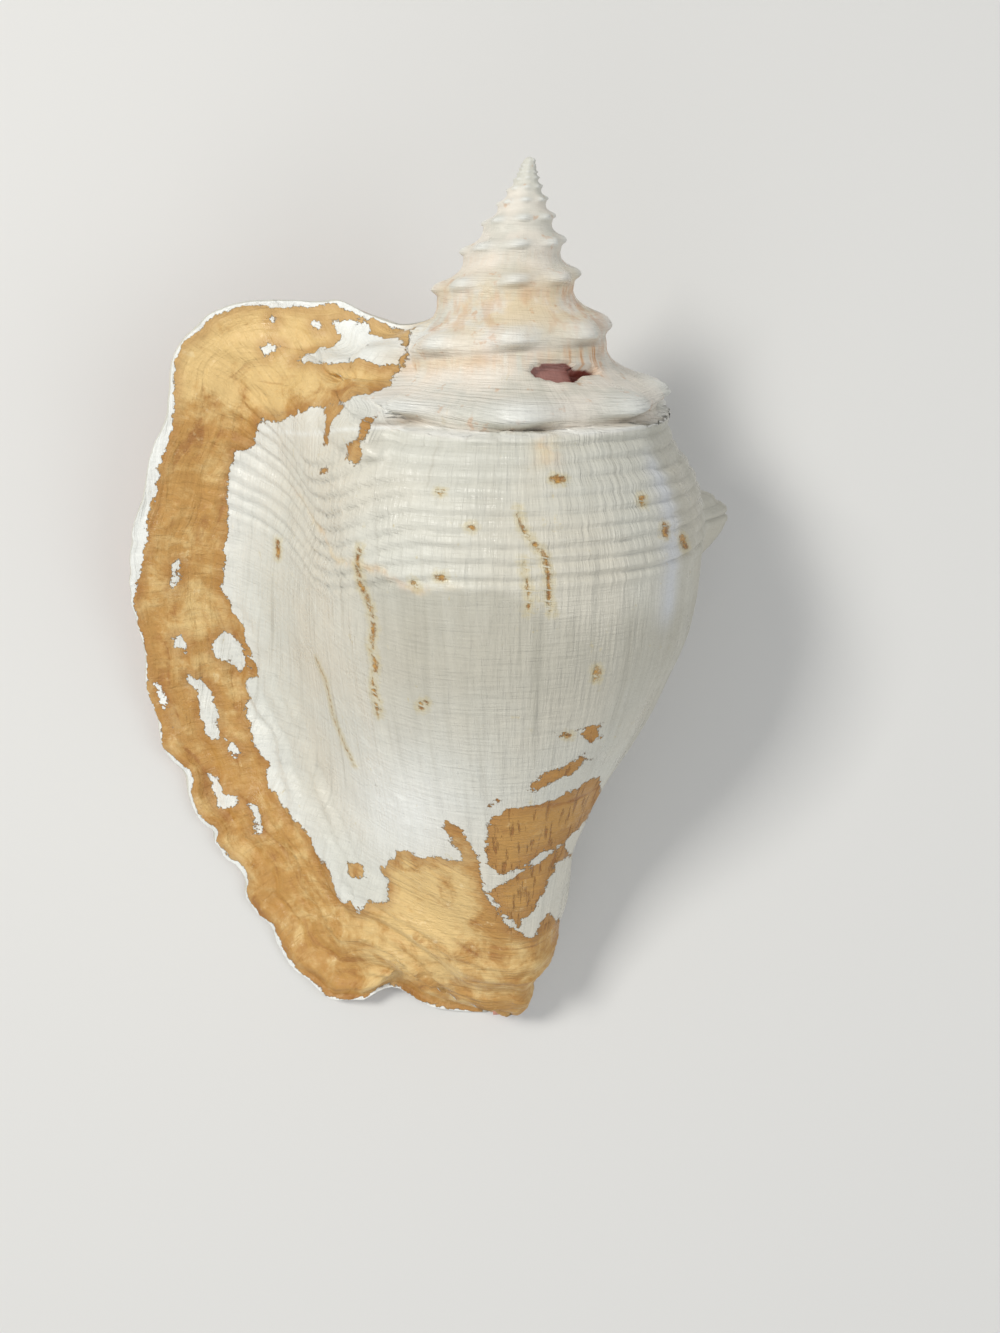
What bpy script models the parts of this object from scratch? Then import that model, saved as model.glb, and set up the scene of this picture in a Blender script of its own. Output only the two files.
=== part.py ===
"""Conch shell lying on its opening, built as the one piece it grew as.

The shell is described about its own coiling axis, in millimetres: a runs to the right,
b towards the back of the shell and t along the axis from the front tip to the apex. Each
cross-section is one closed line. It runs from the rim of the flared lip over the back and
round the body, then under the lip along the inner wall of the hollow and out again under
the lip to the rim. A sphere's parallels are laid on these sections, so the shell is one
closed skin from the apex to the front tip.
"""

from math import cos, exp, log, radians, sin

import bmesh
import bpy
import numpy as np

# Driving dimensions, in millimetres and degrees.
MM = 0.001
LENGTH = 240.3
TILT = 18.0
TIP_HEIGHT = 6.9
CENTRE = (-28.185, 114.24)
AXIS_SHIFT = ((0, 0), (12, -1.6), (22, -3.4), (34, -4.8), (46, -4.6), (62, -4), (240, -4))
TIP = (0.4, -3.5, -1.2)

# Walls: on the coil and out at the lip, where a short lip is a share of its reach. Where
# the lip passes over the whorl it winds round, its top keeps a clearance from it.
WALL = 4.5
LIP_THICKNESS = 6.0
LIP_THICKNESS_SHARE = 0.35
LIP_CLEARANCE = 7.5
LIP_CLEARANCE_SHARE = 0.3
RIM_ROUNDING = 6.0
LEAST_GAP = 1.5

# The stepped spire: how fast it grows, and how far its steps stand out.
# SEAM_DEPTHS pairs the depth of the seam below the apex, on the back, with its whorl.
SEAM_DEPTHS = (
    (1.0, -12.4), (2.6, -9.2), (5.3, -7), (7.6, -6), (10.8, -5), (15.2, -4), (21.7, -3),
    (30.4, -2), (44.4, -1), (61.2, 0), (84, 1), (118, 2), (240, 4),
)

LAST_SEAM_DEPTH = 61.2

# The seams dip on the right and climb behind the lip: share of a growth step, the angle
# where it is greatest and its half width.
SEAM_DIP = (0.05, 15.0, 50.0)
SEAM_CLIMB = (0.05, 135.0, 25.0)

# Radius of the spire over its knobs, against the depth below the apex, and how far each
# whorl keeps inside it from one seam to the next: a hollow ramp, then the shoulder.
SPIRE_RADIUS = (
    (0, 0.5), (0.8, 1.6), (2.5, 2.2), (4.6, 3.0), (11.2, 6.7), (17.7, 10.8), (28.3, 17.3),
    (40, 25.4), (50, 33.4), (57.2, 40.2), (61.2, 43.0), (84, 62.0), (118, 92.0),
)
STEP_PROFILE = (
    (0, 0.88), (0.2, 0.82), (0.32, 0.815), (0.46, 0.85), (0.6, 0.91), (0.7, 0.938),
    (0.8, 0.935), (0.9, 0.905), (1.0, 0.88),
)

# The blunt knobs along each shoulder: their spacing and the angle of one of them, their
# place between the seams, their half widths in degrees and as a share of the whorl, and
# their height as a share of the radius.
KNOB_PITCH = 45.0
KNOB_ANGLE = 88.0
KNOB_PLACE = 0.745
KNOB_HALF_WIDTHS = (12.0, 0.15)
KNOB_HEIGHT = 0.105

# The spiral cords round the shoulder of the last whorl.
CORD_PITCH = 3.6
CORD_HEIGHT = 0.45
CORD_TOP = 178.3
CORD_BOTTOM = 144.0

# The slot knocked through the ramp of the whorl above the last one.
HOLE_ANGLE = 60.0
HOLE_HEIGHT = 191.5
HOLE_HALF_SIZE = (8.6, 2.0, 5.5)

SHELL_COLOUR = (0.62, 0.58, 0.50, 1.0)
SHELL_ROUGHNESS = 0.45

# Mesh density.
ROWS_IN_WHORL = {-7: 3, -6: 4, -5: 4, -4: 4, -3: 6, -2: 7, -1: 10}
COLUMNS_LIP = 9
COLUMNS_COIL = 30
COLUMNS_HOLLOW_IN = 8
COLUMNS_HOLLOW_OUT = 13

# The angle at which the outside of the last whorl turns in under the lip.
TURN_IN_ANGLE = -150

# Radius of the last whorl at seven angles about the axis, against the height t.
RADIUS_AT = {
    -360.0: ((0, 1), (20, 2), (60, 5), (100, 13), (125, 21), (150, 30), (165, 34), (200, 30)),
    -270.0: ((0, 1.5), (20, 3), (60, 7), (100, 17.5), (125, 25.5), (150, 33), (165, 37), (200, 30)),
    -180.0: (
        (0, 2), (20, 4.5), (40, 7), (60, 10.5), (80, 16.5), (100, 24), (120, 31), (136, 36),
        (150, 39), (162, 41), (174, 42), (181, 41), (187, 34), (193, 28),
    ),
    -90.0: (
        (0, 3), (20, 8), (40, 11), (60, 15), (80, 22.5), (102, 33), (124, 43), (138, 46),
        (152, 47), (166, 46), (176, 42), (184, 38), (190, 33),
    ),
    0.0: (
        (0, 2), (8, 5.5), (20, 8), (32, 12.5), (45, 16), (59, 16.5), (70, 20.5), (82, 26),
        (95, 34), (102, 38), (112, 42.5), (124, 47.5), (136, 49.5), (150, 50), (160, 48.3),
        (166, 45.8), (172, 41.5), (178, 39.8), (184, 39),
    ),
    90.0: (
        (0, 4), (12, 11), (25, 17), (40, 21.5), (60, 28), (80, 35.5), (100, 43.5), (115, 48.5),
        (130, 52), (145, 53), (155, 52), (165, 49.5), (172, 46.5), (179, 42.5), (184, 41),
    ),
    180.0: (
        (0, 8), (12, 15), (25, 21), (40, 26), (60, 34), (80, 42), (100, 50), (115, 56),
        (130, 60), (145, 61), (155, 60), (165, 57), (172, 52), (179, 45), (184, 41),
    ),
}

# The rim of the lip for the section that starts at each height: a, b and t.
RIM = (
    (-3, (-4.0, -4.5, -2.0)),
    (2, (-14.8, -5.9, -1.4)),
    (7, (-27.2, -4.4, 0.6)),
    (13, (-40.7, -2.4, 7.4)),
    (18, (-48.5, -1.0, 4.2)),
    (23, (-56.5, -3.2, 3.0)),
    (29, (-67.0, -6.8, 8.6)),
    (36, (-75.0, -10.2, 18.6)),
    (44, (-84.4, -14.2, 32.2)),
    (52, (-92.5, -17.8, 46.0)),
    (59, (-98.8, -20.0, 53.6)),
    (66, (-102.6, -22.2, 61.9)),
    (74, (-107.9, -24.0, 75.0)),
    (86, (-111.2, -24.6, 91.9)),
    (97, (-112.2, -23.5, 111.0)),
    (107, (-113.4, -22.0, 125.8)),
    (116, (-112.2, -21.0, 136.0)),
    (126, (-109.0, -20.0, 147.6)),
    (136, (-105.2, -19.0, 159.5)),
    (148, (-98.6, -17.5, 175.8)),
    (157, (-94.9, -16.0, 189.6)),
    (163, (-90.0, -14.5, 198.0)),
    (169, (-83.8, -13.0, 202.2)),
    (177, (-70.0, -10.5, 207.0)),
    (185, (-57.0, -8.0, 206.4)),
    (191, (-49.0, -6.5, 207.2)),
    (196, (-40.0, -4.0, 203.5)),
    (200, (-33.0, -1.0, 201.5)),
    (203, (-30.0, 0.0, 203.0)),
)

# Where the lip leaves the coil, and the way its sections point as they reach the rim.
LIP_ROOT_ANGLE = (
    (0, 80), (30, 88), (60, 96), (100, 104), (150, 106), (165, 112), (175, 122), (181, 132),
    (186, 142), (192, 152), (198, 160), (204, 165),
)
RIM_HEADING = (
    (0, -88), (10, -82), (20, -65), (40, -42), (60, -25), (80, -10), (110, 0), (140, 12),
    (160, 30), (170, 45), (180, 62), (190, 75), (203, 85),
)
RIM_FLARE = ((0, -0.1), (40, 0.05), (70, 0.22), (110, 0.32), (160, 0.3), (190, 0.15), (203, 0.0))

# How far back the hollow reaches round the axis, as an angle on the inner whorl.
HOLLOW_END = (
    (0, -184), (12, -190), (25, -235), (45, -290), (60, -300), (145, -300), (156, -270),
    (164, -225), (170, -195), (175, -184), (203, -182),
)

# The blunt spines of the last whorl: angle, height along the axis, reach and base size.
SPINES = (
    (-27, 147, 18.0, 12.5),
    (-64, 148, 12.6, 15.0),
    (-113, 149, 13.2, 15.0),
)
SPINE_ROUNDING = 2.0
SHOULDER_RADIUS = 50.0


def ease(x, start, end):
    """Ease from 0 to 1 as x goes from start to end."""
    share = np.clip((x - start) / (end - start), 0.0, 1.0)
    return share * share * (3.0 - 2.0 * share)


def swell(x, place, half_width):
    """A smooth bump, 1 at its place."""
    return np.exp(-(((x - place) / half_width) ** 2))


def through(points):
    """Return a smooth function that passes through (place, value) pairs without overshoot."""
    x = np.array([p[0] for p in points], float)
    y = np.array([p[1] for p in points], float)
    steps = np.diff(x)
    slopes = np.diff(y) / steps
    tangents = np.zeros_like(x)
    rising = slopes[:-1] * slopes[1:] > 0
    weight_1 = 2 * steps[1:] + steps[:-1]
    weight_2 = steps[1:] + 2 * steps[:-1]
    safe = np.where(rising, slopes[:-1] * slopes[1:], 1.0)
    inner = (weight_1 + weight_2) * safe / (weight_1 * slopes[1:] + weight_2 * slopes[:-1] + 1e-12)
    tangents[1:-1] = np.where(rising, inner, 0.0)
    tangents[0], tangents[-1] = slopes[0], slopes[-1]

    def value(at):
        at = np.clip(at, x[0], x[-1])
        i = np.clip(np.searchsorted(x, at, side="right") - 1, 0, len(steps) - 1)
        u = (at - x[i]) / steps[i]
        h00 = (1 + 2 * u) * (1 - u) ** 2
        h01 = u * u * (3 - 2 * u)
        h10 = u * (1 - u) ** 2
        h11 = u * u * (u - 1)
        return (
            h00 * y[i] + h01 * y[i + 1]
            + steps[i] * (h10 * tangents[i] + h11 * tangents[i + 1])
        )

    return value


AXIS_CURVE = through(AXIS_SHIFT)
SPIRE_CURVE = through(SPIRE_RADIUS)
STEP_CURVE = through(STEP_PROFILE)
WHORL_CURVE = through([(log(depth), whorl) for depth, whorl in SEAM_DEPTHS])
RADIUS_CURVES = {angle: through(points) for angle, points in RADIUS_AT.items()}
RIM_CURVES = [through([(t, place[k]) for t, place in RIM]) for k in range(3)]
ROOT_ANGLE_CURVE = through(LIP_ROOT_ANGLE)
HEADING_CURVE = through(RIM_HEADING)
FLARE_CURVE = through(RIM_FLARE)
HOLLOW_END_CURVE = through(HOLLOW_END)


def axis_offset(t):
    """How far the coil's centre stands to the right of the line through the apex."""
    return AXIS_CURVE(LENGTH - t)


def whorl_phase(angle, t):
    """Whorls counted down from the last seam, which is 0; the spire is below 0."""
    depth = np.maximum(LENGTH - t, 1.0)
    round_turn = (angle + 180.0) % 360.0 - 180.0
    dip_size, dip_angle, dip_width = SEAM_DIP
    climb_size, climb_angle, climb_width = SEAM_CLIMB
    dip = dip_size * swell(round_turn, dip_angle, dip_width)
    climb = climb_size * swell(angle, climb_angle, climb_width) * ease(depth, 50, 58)
    return WHORL_CURVE(np.log(depth) - dip + climb) - (angle - 90.0) / 360.0


def knobs(angle, place):
    """Blunt knobs on the shoulder of each spire whorl, from 0 to 1."""
    wide, long = KNOB_HALF_WIDTHS
    across = (angle - KNOB_ANGLE + KNOB_PITCH / 2) % KNOB_PITCH - KNOB_PITCH / 2
    rounded = np.exp(-(((place - KNOB_PLACE) / long) ** 4))
    return swell(across, 0.0, wide) * rounded


def spire_radius(angle, t):
    """Radius of the stepped spire: a hollow ramp below each seam, then the shoulder."""
    place = whorl_phase(angle, t) % 1.0
    return SPIRE_CURVE(LENGTH - t) * (STEP_CURVE(place) + KNOB_HEIGHT * knobs(angle, place))


def body_radius(angle, t):
    """Radius of the last whorl, from the table of profiles."""
    keys = sorted(RADIUS_CURVES)
    table = np.stack([RADIUS_CURVES[k](t) * np.ones_like(angle) for k in keys])
    place = np.clip((angle - keys[0]) / 90.0, 0, len(keys) - 1 - 1e-9)
    i = place.astype(int)
    u = place - i
    column = np.arange(len(angle))
    last = len(keys) - 1
    p0 = table[np.maximum(i - 1, 0), column]
    p1 = table[i, column]
    p2 = table[np.minimum(i + 1, last), column]
    p3 = table[np.minimum(i + 2, last), column]
    return p1 + 0.5 * u * (
        p2 - p0 + u * (2 * p0 - 5 * p1 + 4 * p2 - p3 + u * (3 * (p1 - p2) + p3 - p0))
    )


def spine_height(angle, t):
    """Reach of the body whorl's blunt spines above its surface."""
    reach = np.zeros_like(angle)
    for at_angle, at_t, height, base in SPINES:
        across = np.radians(angle - at_angle) * SHOULDER_RADIUS
        along = (t - at_t) * np.where(t > at_t, 1.25, 0.8)
        distance = np.sqrt(across**2 + along**2 + SPINE_ROUNDING**2) - SPINE_ROUNDING
        reach = np.maximum(reach, height * (1 - ease(distance, 0, 1.25 * base)))
    return reach


def cord_height(angle, t):
    """Spiral cords that ring the shoulder of the last whorl, fading out underneath."""
    share = ease(t, CORD_BOTTOM, CORD_BOTTOM + 5) * (1 - ease(t, CORD_TOP - 2, CORD_TOP + 2))
    share = share * ease(angle, -40, 0)
    return CORD_HEIGHT * share * np.cos(2 * np.pi * (CORD_TOP - t) / CORD_PITCH)


def coil_radius(angle, t):
    """Outer radius of the coil at an angle and a height, spire and last whorl together."""
    phase = whorl_phase(angle, t)
    spire = spire_radius(angle, t)
    body = body_radius(angle, t) + spine_height(angle, t) + cord_height(angle, t)
    later = ease(phase, 0.75, 1.1)
    share = np.where(angle < -180, later, np.maximum(ease(angle, -180, -100), later))
    lap = ease(phase, -0.03, 0.03)
    return spire + (body - spire) * share * lap


def on_coil(angle, t, inwards=0.0):
    """Points on the coil, in a, b and t."""
    radius = coil_radius(angle, t) - inwards
    turn = np.radians(angle)
    a = axis_offset(t) + radius * np.cos(turn)
    return np.stack([a, radius * np.sin(turn), t + np.zeros_like(a)], axis=1)


def lip_line(t, count=90):
    """The top of the lip in one section, as points from its root to the rim."""
    root_angle = ROOT_ANGLE_CURVE(t)
    root = on_coil(np.array([root_angle]), t)[0]
    rim = np.array([curve(t) for curve in RIM_CURVES])
    turn = radians(root_angle)
    along = np.array([-sin(turn), cos(turn), 0.0])
    start = along + np.array([-0.2, 0.0, 0.5]) * ease(t, 168, 186)
    start += np.array([-0.6, 0.5, 0.0]) * ease(t, 184, 192)
    start /= np.linalg.norm(start)
    heading = radians(HEADING_CURVE(t))
    finish = np.array([-cos(heading), FLARE_CURVE(t), sin(heading)])
    finish /= np.linalg.norm(finish)
    reach = np.linalg.norm(rim - root)
    flat = 0.4 + 0.14 * ease(t, 30, 70) * (1 - ease(t, 145, 175))
    handle_1 = root + start * reach * 0.45
    handle_2 = rim - finish * reach * flat
    s = np.linspace(0, 1, count)[:, None]
    line = (
        (1 - s) ** 3 * root + 3 * s * (1 - s) ** 2 * handle_1
        + 3 * s * s * (1 - s) * handle_2 + s**3 * rim
    )
    from_root = np.linalg.norm(line - root, axis=1)
    onset = ease(from_root, 0, 10)
    over_knobs = onset * ease(t, 166, 174) * (1 - ease(t, 188, 202))
    gap = min(LIP_CLEARANCE, LIP_CLEARANCE_SHARE * reach) * onset
    return clear_of_inner_whorl(line, gap, over_knobs)


def inner_side(line, thickness):
    """A line offset to its inner side, rounded off to nothing at its last point."""
    way = np.gradient(line, axis=0)
    way[:, 2] = 0
    way /= np.linalg.norm(way, axis=1)[:, None] + 1e-9
    inner = np.stack([-way[:, 1], way[:, 0], np.zeros(len(line))], axis=1)
    to_rim = np.linalg.norm(np.diff(line, axis=0), axis=1)[::-1].cumsum()[::-1]
    to_rim = np.append(to_rim, 0.0)
    share = np.sqrt(1 - (1 - np.clip(to_rim / RIM_ROUNDING, 0, 1)) ** 2)
    return line + inner * (thickness * share)[:, None]


def clear_of_inner_whorl(points, gap, cover=0.0):
    """Push points out so that they stay a gap outside the whorl they wind round.

    With cover they clear the tops of the spire's knobs too, without following them.
    """
    centre = axis_offset(points[:, 2])
    a, b = points[:, 0] - centre, points[:, 1]
    angle = np.degrees(np.arctan2(b, a))
    angle = np.where(angle > 0, angle - 360, angle)
    least = coil_radius(angle, points[:, 2])
    over = np.minimum(SPIRE_CURVE(LENGTH - points[:, 2]), SPIRE_CURVE(LAST_SEAM_DEPTH))
    least += np.maximum(over - least, 0.0) * cover + gap
    radius = np.hypot(a, b)
    grow = np.maximum(least / np.maximum(radius, 1e-6), 1.0)
    pushed = points.copy()
    pushed[:, 0] = centre + a * grow
    pushed[:, 1] = b * grow
    return pushed


def spread(line, shares):
    """Points at the given shares of a line's length."""
    steps = np.linalg.norm(np.diff(line, axis=0), axis=1)
    along = np.concatenate([[0], np.cumsum(steps)])
    along /= along[-1]
    return np.stack([np.interp(shares, along, line[:, k]) for k in range(3)], axis=1)


def hollow_lines(t, lip):
    """The two walls of the hollow in one section: the inner whorl, and the outer wall."""
    end = float(HOLLOW_END_CURVE(t))
    root_angle = float(ROOT_ANGLE_CURVE(t))
    reach = np.linalg.norm(lip[-1] - lip[0])
    thickness = WALL + (LIP_THICKNESS - WALL) * np.linspace(0, 1, len(lip))
    thickness = np.minimum(thickness, LIP_THICKNESS_SHARE * reach)
    under = inner_side(lip, thickness)
    back = np.linspace(end + 360, root_angle, 40)[:-1]
    if end + 360 < root_angle:
        under = np.concatenate([on_coil(back, t, WALL), under])
    gap = LEAST_GAP * (2 - ease(t, 152, 172))
    under = clear_of_inner_whorl(under, gap)
    angle = np.degrees(np.arctan2(under[:, 1], under[:, 0] - axis_offset(t)))
    angle = np.where(angle < -30, angle + 360, angle)
    beyond = np.nonzero(angle >= end + 360)[0]
    under = under[beyond[0] if len(beyond) else 0:]
    share = np.linspace(0, 1, 60)
    level = t + (under[0, 2] - t) * ease(share, 0, 1)
    inner_wall = on_coil(TURN_IN_ANGLE + (end - TURN_IN_ANGLE) * share, level)
    return inner_wall, under


def section(t):
    """One closed cross-section: a list of points round the shell, from the rim."""
    shares_lip = np.arange(COLUMNS_LIP) / COLUMNS_LIP
    root_angle = float(ROOT_ANGLE_CURVE(t))
    lip = lip_line(t)
    top = spread(lip[::-1], shares_lip**0.9)
    coil = on_coil(np.linspace(root_angle, TURN_IN_ANGLE, COLUMNS_COIL, endpoint=False), t)
    inner_wall, under = hollow_lines(t, lip)
    way_in = spread(inner_wall, np.linspace(0, 1, COLUMNS_HOLLOW_IN))
    way_out = spread(under, np.linspace(0, 1, COLUMNS_HOLLOW_OUT + 1)[:-1])
    return np.concatenate([top, coil, way_in, way_out])


def plain_section(t):
    """A section above the lip: once round the spire, closing on itself."""
    count = COLUMNS_LIP + COLUMNS_COIL + COLUMNS_HOLLOW_IN + COLUMNS_HOLLOW_OUT
    root_angle = float(ROOT_ANGLE_CURVE(min(t, 204)))
    behind = COLUMNS_HOLLOW_IN + COLUMNS_HOLLOW_OUT
    crowded = np.concatenate([
        np.linspace(180, root_angle, COLUMNS_LIP, endpoint=False),
        np.linspace(root_angle, TURN_IN_ANGLE, COLUMNS_COIL, endpoint=False),
        np.linspace(TURN_IN_ANGLE, -180, behind, endpoint=False),
    ])
    even = np.linspace(180, -180, count, endpoint=False)
    return on_coil(crowded + (even - crowded) * ease(t, 204, 226), t)


def stations():
    """Heights of the sections, from just under the apex to just above the front tip."""
    depth_of = through([(whorl, log(depth)) for depth, whorl in SEAM_DEPTHS])
    spire = [
        LENGTH - exp(depth_of(whorl + k / count))
        for whorl, count in ROWS_IN_WHORL.items()
        for k in range(count)
    ]
    cords = np.arange(CORD_TOP, CORD_BOTTOM, -CORD_PITCH / 2)
    body = np.concatenate([cords, np.arange(138, 62, -8.0), np.arange(58, 4, -6.0)])
    return np.concatenate([[LENGTH - 0.8, LENGTH - 2.8], spire, body, [2.2]])


def to_world(points):
    """From a, b and t in millimetres to metres, lying on the ground and worn flat where it rests."""
    tilt = radians(TILT)
    a, b, t = points.T
    y = t * cos(tilt) - b * sin(tilt)
    z = np.maximum(TIP_HEIGHT + t * sin(tilt) + b * cos(tilt), 0.0)
    return np.stack([a - CENTRE[0], y - CENTRE[1], z], axis=1) * MM


def blended_section(t):
    """The section at a height, easing from the spire's plain ring to the lipped one."""
    share = 1 - float(ease(t, 199, 203))
    if share == 0:
        return plain_section(t)
    if share == 1:
        return section(t)
    return plain_section(t) * (1 - share) + section(t) * share


def shell_material():
    """Chalky white shell."""
    material = bpy.data.materials.new("chalky_shell")
    material.use_nodes = True
    surface = material.node_tree.nodes["Principled BSDF"]
    surface.inputs["Base Color"].default_value = SHELL_COLOUR
    surface.inputs["Roughness"].default_value = SHELL_ROUGHNESS
    return material


def build_shell():
    """Lay a sphere's parallels on the sections and make the shell's object."""
    heights = stations()
    columns = len(section(120.0))
    rings = [to_world(blended_section(t)) for t in heights]
    bm = bmesh.new()
    bmesh.ops.create_uvsphere(bm, u_segments=columns, v_segments=len(heights) + 1, radius=1)
    apex = to_world(np.array([[0.0, 0.0, LENGTH]]))[0]
    tip = to_world(np.array([TIP]))[0]
    for vert in bm.verts:
        x, y, z = vert.co
        if abs(z) > 0.99999:
            vert.co = apex if z > 0 else tip
            continue
        row = round(np.arccos(z) / np.pi * (len(heights) + 1)) - 1
        column = round(np.arctan2(y, x) / (2 * np.pi) * columns) % columns
        vert.co = rings[row][column]
    bmesh.ops.recalc_face_normals(bm, faces=bm.faces)
    mesh = bpy.data.meshes.new("conch_shell")
    bm.to_mesh(mesh)
    bm.free()
    mesh.materials.append(shell_material())
    mesh.shade_smooth()
    shell = bpy.data.objects.new("conch_shell", mesh)
    bpy.context.scene.collection.objects.link(shell)
    return shell


def cut_hole(shell):
    """Cut the broken slot with an ellipsoid that lies in the surface, along the whorl."""
    angle = np.array([HOLE_ANGLE])
    turn = radians(HOLE_ANGLE)
    tilt = radians(TILT)
    centre = to_world(on_coil(angle, HOLE_HEIGHT))[0]
    upper, lower = (to_world(on_coil(angle, HOLE_HEIGHT + step))[0] for step in (2, -2))
    across = (upper - lower) / np.linalg.norm(upper - lower)
    along = np.array([-sin(turn), -cos(turn) * sin(tilt), cos(turn) * cos(tilt)])
    along -= across * np.dot(along, across)
    along /= np.linalg.norm(along)
    outwards = np.cross(along, across)
    bm = bmesh.new()
    bmesh.ops.create_uvsphere(bm, u_segments=14, v_segments=8, radius=1)
    for vert in bm.verts:
        x, y, z = (size * MM * c for size, c in zip(HOLE_HALF_SIZE, vert.co))
        vert.co = centre + along * x + across * y + outwards * z
    mesh = bpy.data.meshes.new("hole_cutter")
    bm.to_mesh(mesh)
    bm.free()
    cutter = bpy.data.objects.new("hole_cutter", mesh)
    cutter.hide_render = True
    cutter.display_type = "WIRE"
    bpy.context.scene.collection.objects.link(cutter)
    cut = shell.modifiers.new("hole", "BOOLEAN")
    cut.operation = "DIFFERENCE"
    cut.solver = "EXACT"
    cut.object = cutter


for old in list(bpy.data.objects):
    bpy.data.objects.remove(old)
cut_hole(build_shell())
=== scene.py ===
"""Conch shell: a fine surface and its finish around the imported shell.

The shell lies on its opening. Its surface is laid on closed cross-sections about the
coiling axis, in millimetres: a runs to the right, b towards the back of the shell and t
along the axis from the front tip to the apex.
"""

import logging
from dataclasses import dataclass, field
from enum import Enum
from math import cos, exp, log, radians, sin

import bmesh
import bpy
import numpy as np
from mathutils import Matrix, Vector

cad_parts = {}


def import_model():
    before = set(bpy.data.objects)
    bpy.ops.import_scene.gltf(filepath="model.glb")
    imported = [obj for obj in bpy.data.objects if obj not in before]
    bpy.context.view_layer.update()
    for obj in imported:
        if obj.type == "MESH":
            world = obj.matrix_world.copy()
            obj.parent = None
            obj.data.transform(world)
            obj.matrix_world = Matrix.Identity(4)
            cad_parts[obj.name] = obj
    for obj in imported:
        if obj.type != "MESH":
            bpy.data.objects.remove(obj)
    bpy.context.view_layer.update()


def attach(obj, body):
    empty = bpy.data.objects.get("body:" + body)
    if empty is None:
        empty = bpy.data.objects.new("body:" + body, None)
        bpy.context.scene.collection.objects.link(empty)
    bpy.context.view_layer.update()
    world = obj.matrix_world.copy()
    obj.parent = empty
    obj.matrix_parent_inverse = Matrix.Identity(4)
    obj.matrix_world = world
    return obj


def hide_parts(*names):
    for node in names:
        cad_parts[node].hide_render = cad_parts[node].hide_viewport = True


LOG = logging.getLogger("conch")
MM = 0.001
DEGREES = 57.3
Array = np.ndarray
Pairs = tuple[tuple[float, float], ...]
Socket = bpy.types.NodeSocket
Colour = tuple[float, float, float, float]
Stretch = tuple[float, float, float]


class Part(Enum):
    """The stretches of one cross-section, in order from the rim."""

    LIP = 0
    COIL = 1
    WAY_IN = 2
    WAY_OUT = 3


def smooth(x: Array | float) -> Array:
    """Ease from 0 to 1 as x goes from 0 to 1."""
    x = np.clip(x, 0.0, 1.0)
    return x * x * (3.0 - 2.0 * x)


def window(x: Array | float, low: float, rise: float, high: float, fall: float) -> Array:
    """Ease in over a rise that starts at low, and out over a fall that ends at high."""
    return smooth((x - low) / rise) * smooth((high - x) / fall)


def bell(across: Array, along: Array | float = 0.0) -> Array:
    """A hump that is 1 where both values are 0 and fades as they grow."""
    return np.exp(-(across**2) - along**2)


def unit(vectors: Array) -> Array:
    """Vectors brought to a length of 1."""
    return vectors / (np.linalg.norm(vectors, axis=-1, keepdims=True) + 1e-12)


class Curve:
    """A smooth line through points that never overshoots them."""

    def __init__(self, points: Pairs) -> None:
        """Work out the slopes at the points.

        Args:
            points: Pairs of place and value, in rising order of place.
        """
        self.x = np.array([p[0] for p in points], float)
        self.y = np.array([p[1] for p in points], float)
        self.steps = np.diff(self.x)
        slopes = np.diff(self.y) / self.steps
        self.tangents = np.zeros_like(self.x)
        rising = slopes[:-1] * slopes[1:] > 0
        first = 2 * self.steps[1:] + self.steps[:-1]
        second = self.steps[1:] + 2 * self.steps[:-1]
        product = np.where(rising, slopes[:-1] * slopes[1:], 1.0)
        inner = (first + second) * product / (first * slopes[1:] + second * slopes[:-1] + 1e-12)
        self.tangents[1:-1] = np.where(rising, inner, 0.0)
        self.tangents[0], self.tangents[-1] = slopes[0], slopes[-1]

    def __call__(self, at: Array | float) -> Array:
        """Value of the line at one or more places."""
        at = np.clip(at, self.x[0], self.x[-1])
        i = np.clip(np.searchsorted(self.x, at, side="right") - 1, 0, len(self.steps) - 1)
        u = (at - self.x[i]) / self.steps[i]
        rise = self.steps[i] * (
            u * (1 - u) ** 2 * self.tangents[i] + u * u * (u - 1) * self.tangents[i + 1]
        )
        return (1 + 2 * u) * (1 - u) ** 2 * self.y[i] + u * u * (3 - 2 * u) * self.y[i + 1] + rise


class Ripple:
    """Smooth seeded noise between -1 and 1 over one or two directions."""

    SIZE = 64

    def __init__(self, seed: int) -> None:
        """Draw the table of heights that the noise passes through."""
        self.table = np.random.default_rng(seed).uniform(-1, 1, (self.SIZE, self.SIZE))

    def __call__(self, x: Array, y: Array | float = 0.0) -> Array:
        """Noise at places x, y, one unit between heights."""
        x, y = np.broadcast_arrays(np.asarray(x, float), np.asarray(y, float))
        i, j = np.floor(x).astype(int), np.floor(y).astype(int)
        u, v = smooth(x - i), smooth(y - j)
        a, b = i % self.SIZE, (i + 1) % self.SIZE
        c, d = j % self.SIZE, (j + 1) % self.SIZE
        near = self.table[a, c] * (1 - u) + self.table[b, c] * u
        far = self.table[a, d] * (1 - u) + self.table[b, d] * u
        return near * (1 - v) + far * v


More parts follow.
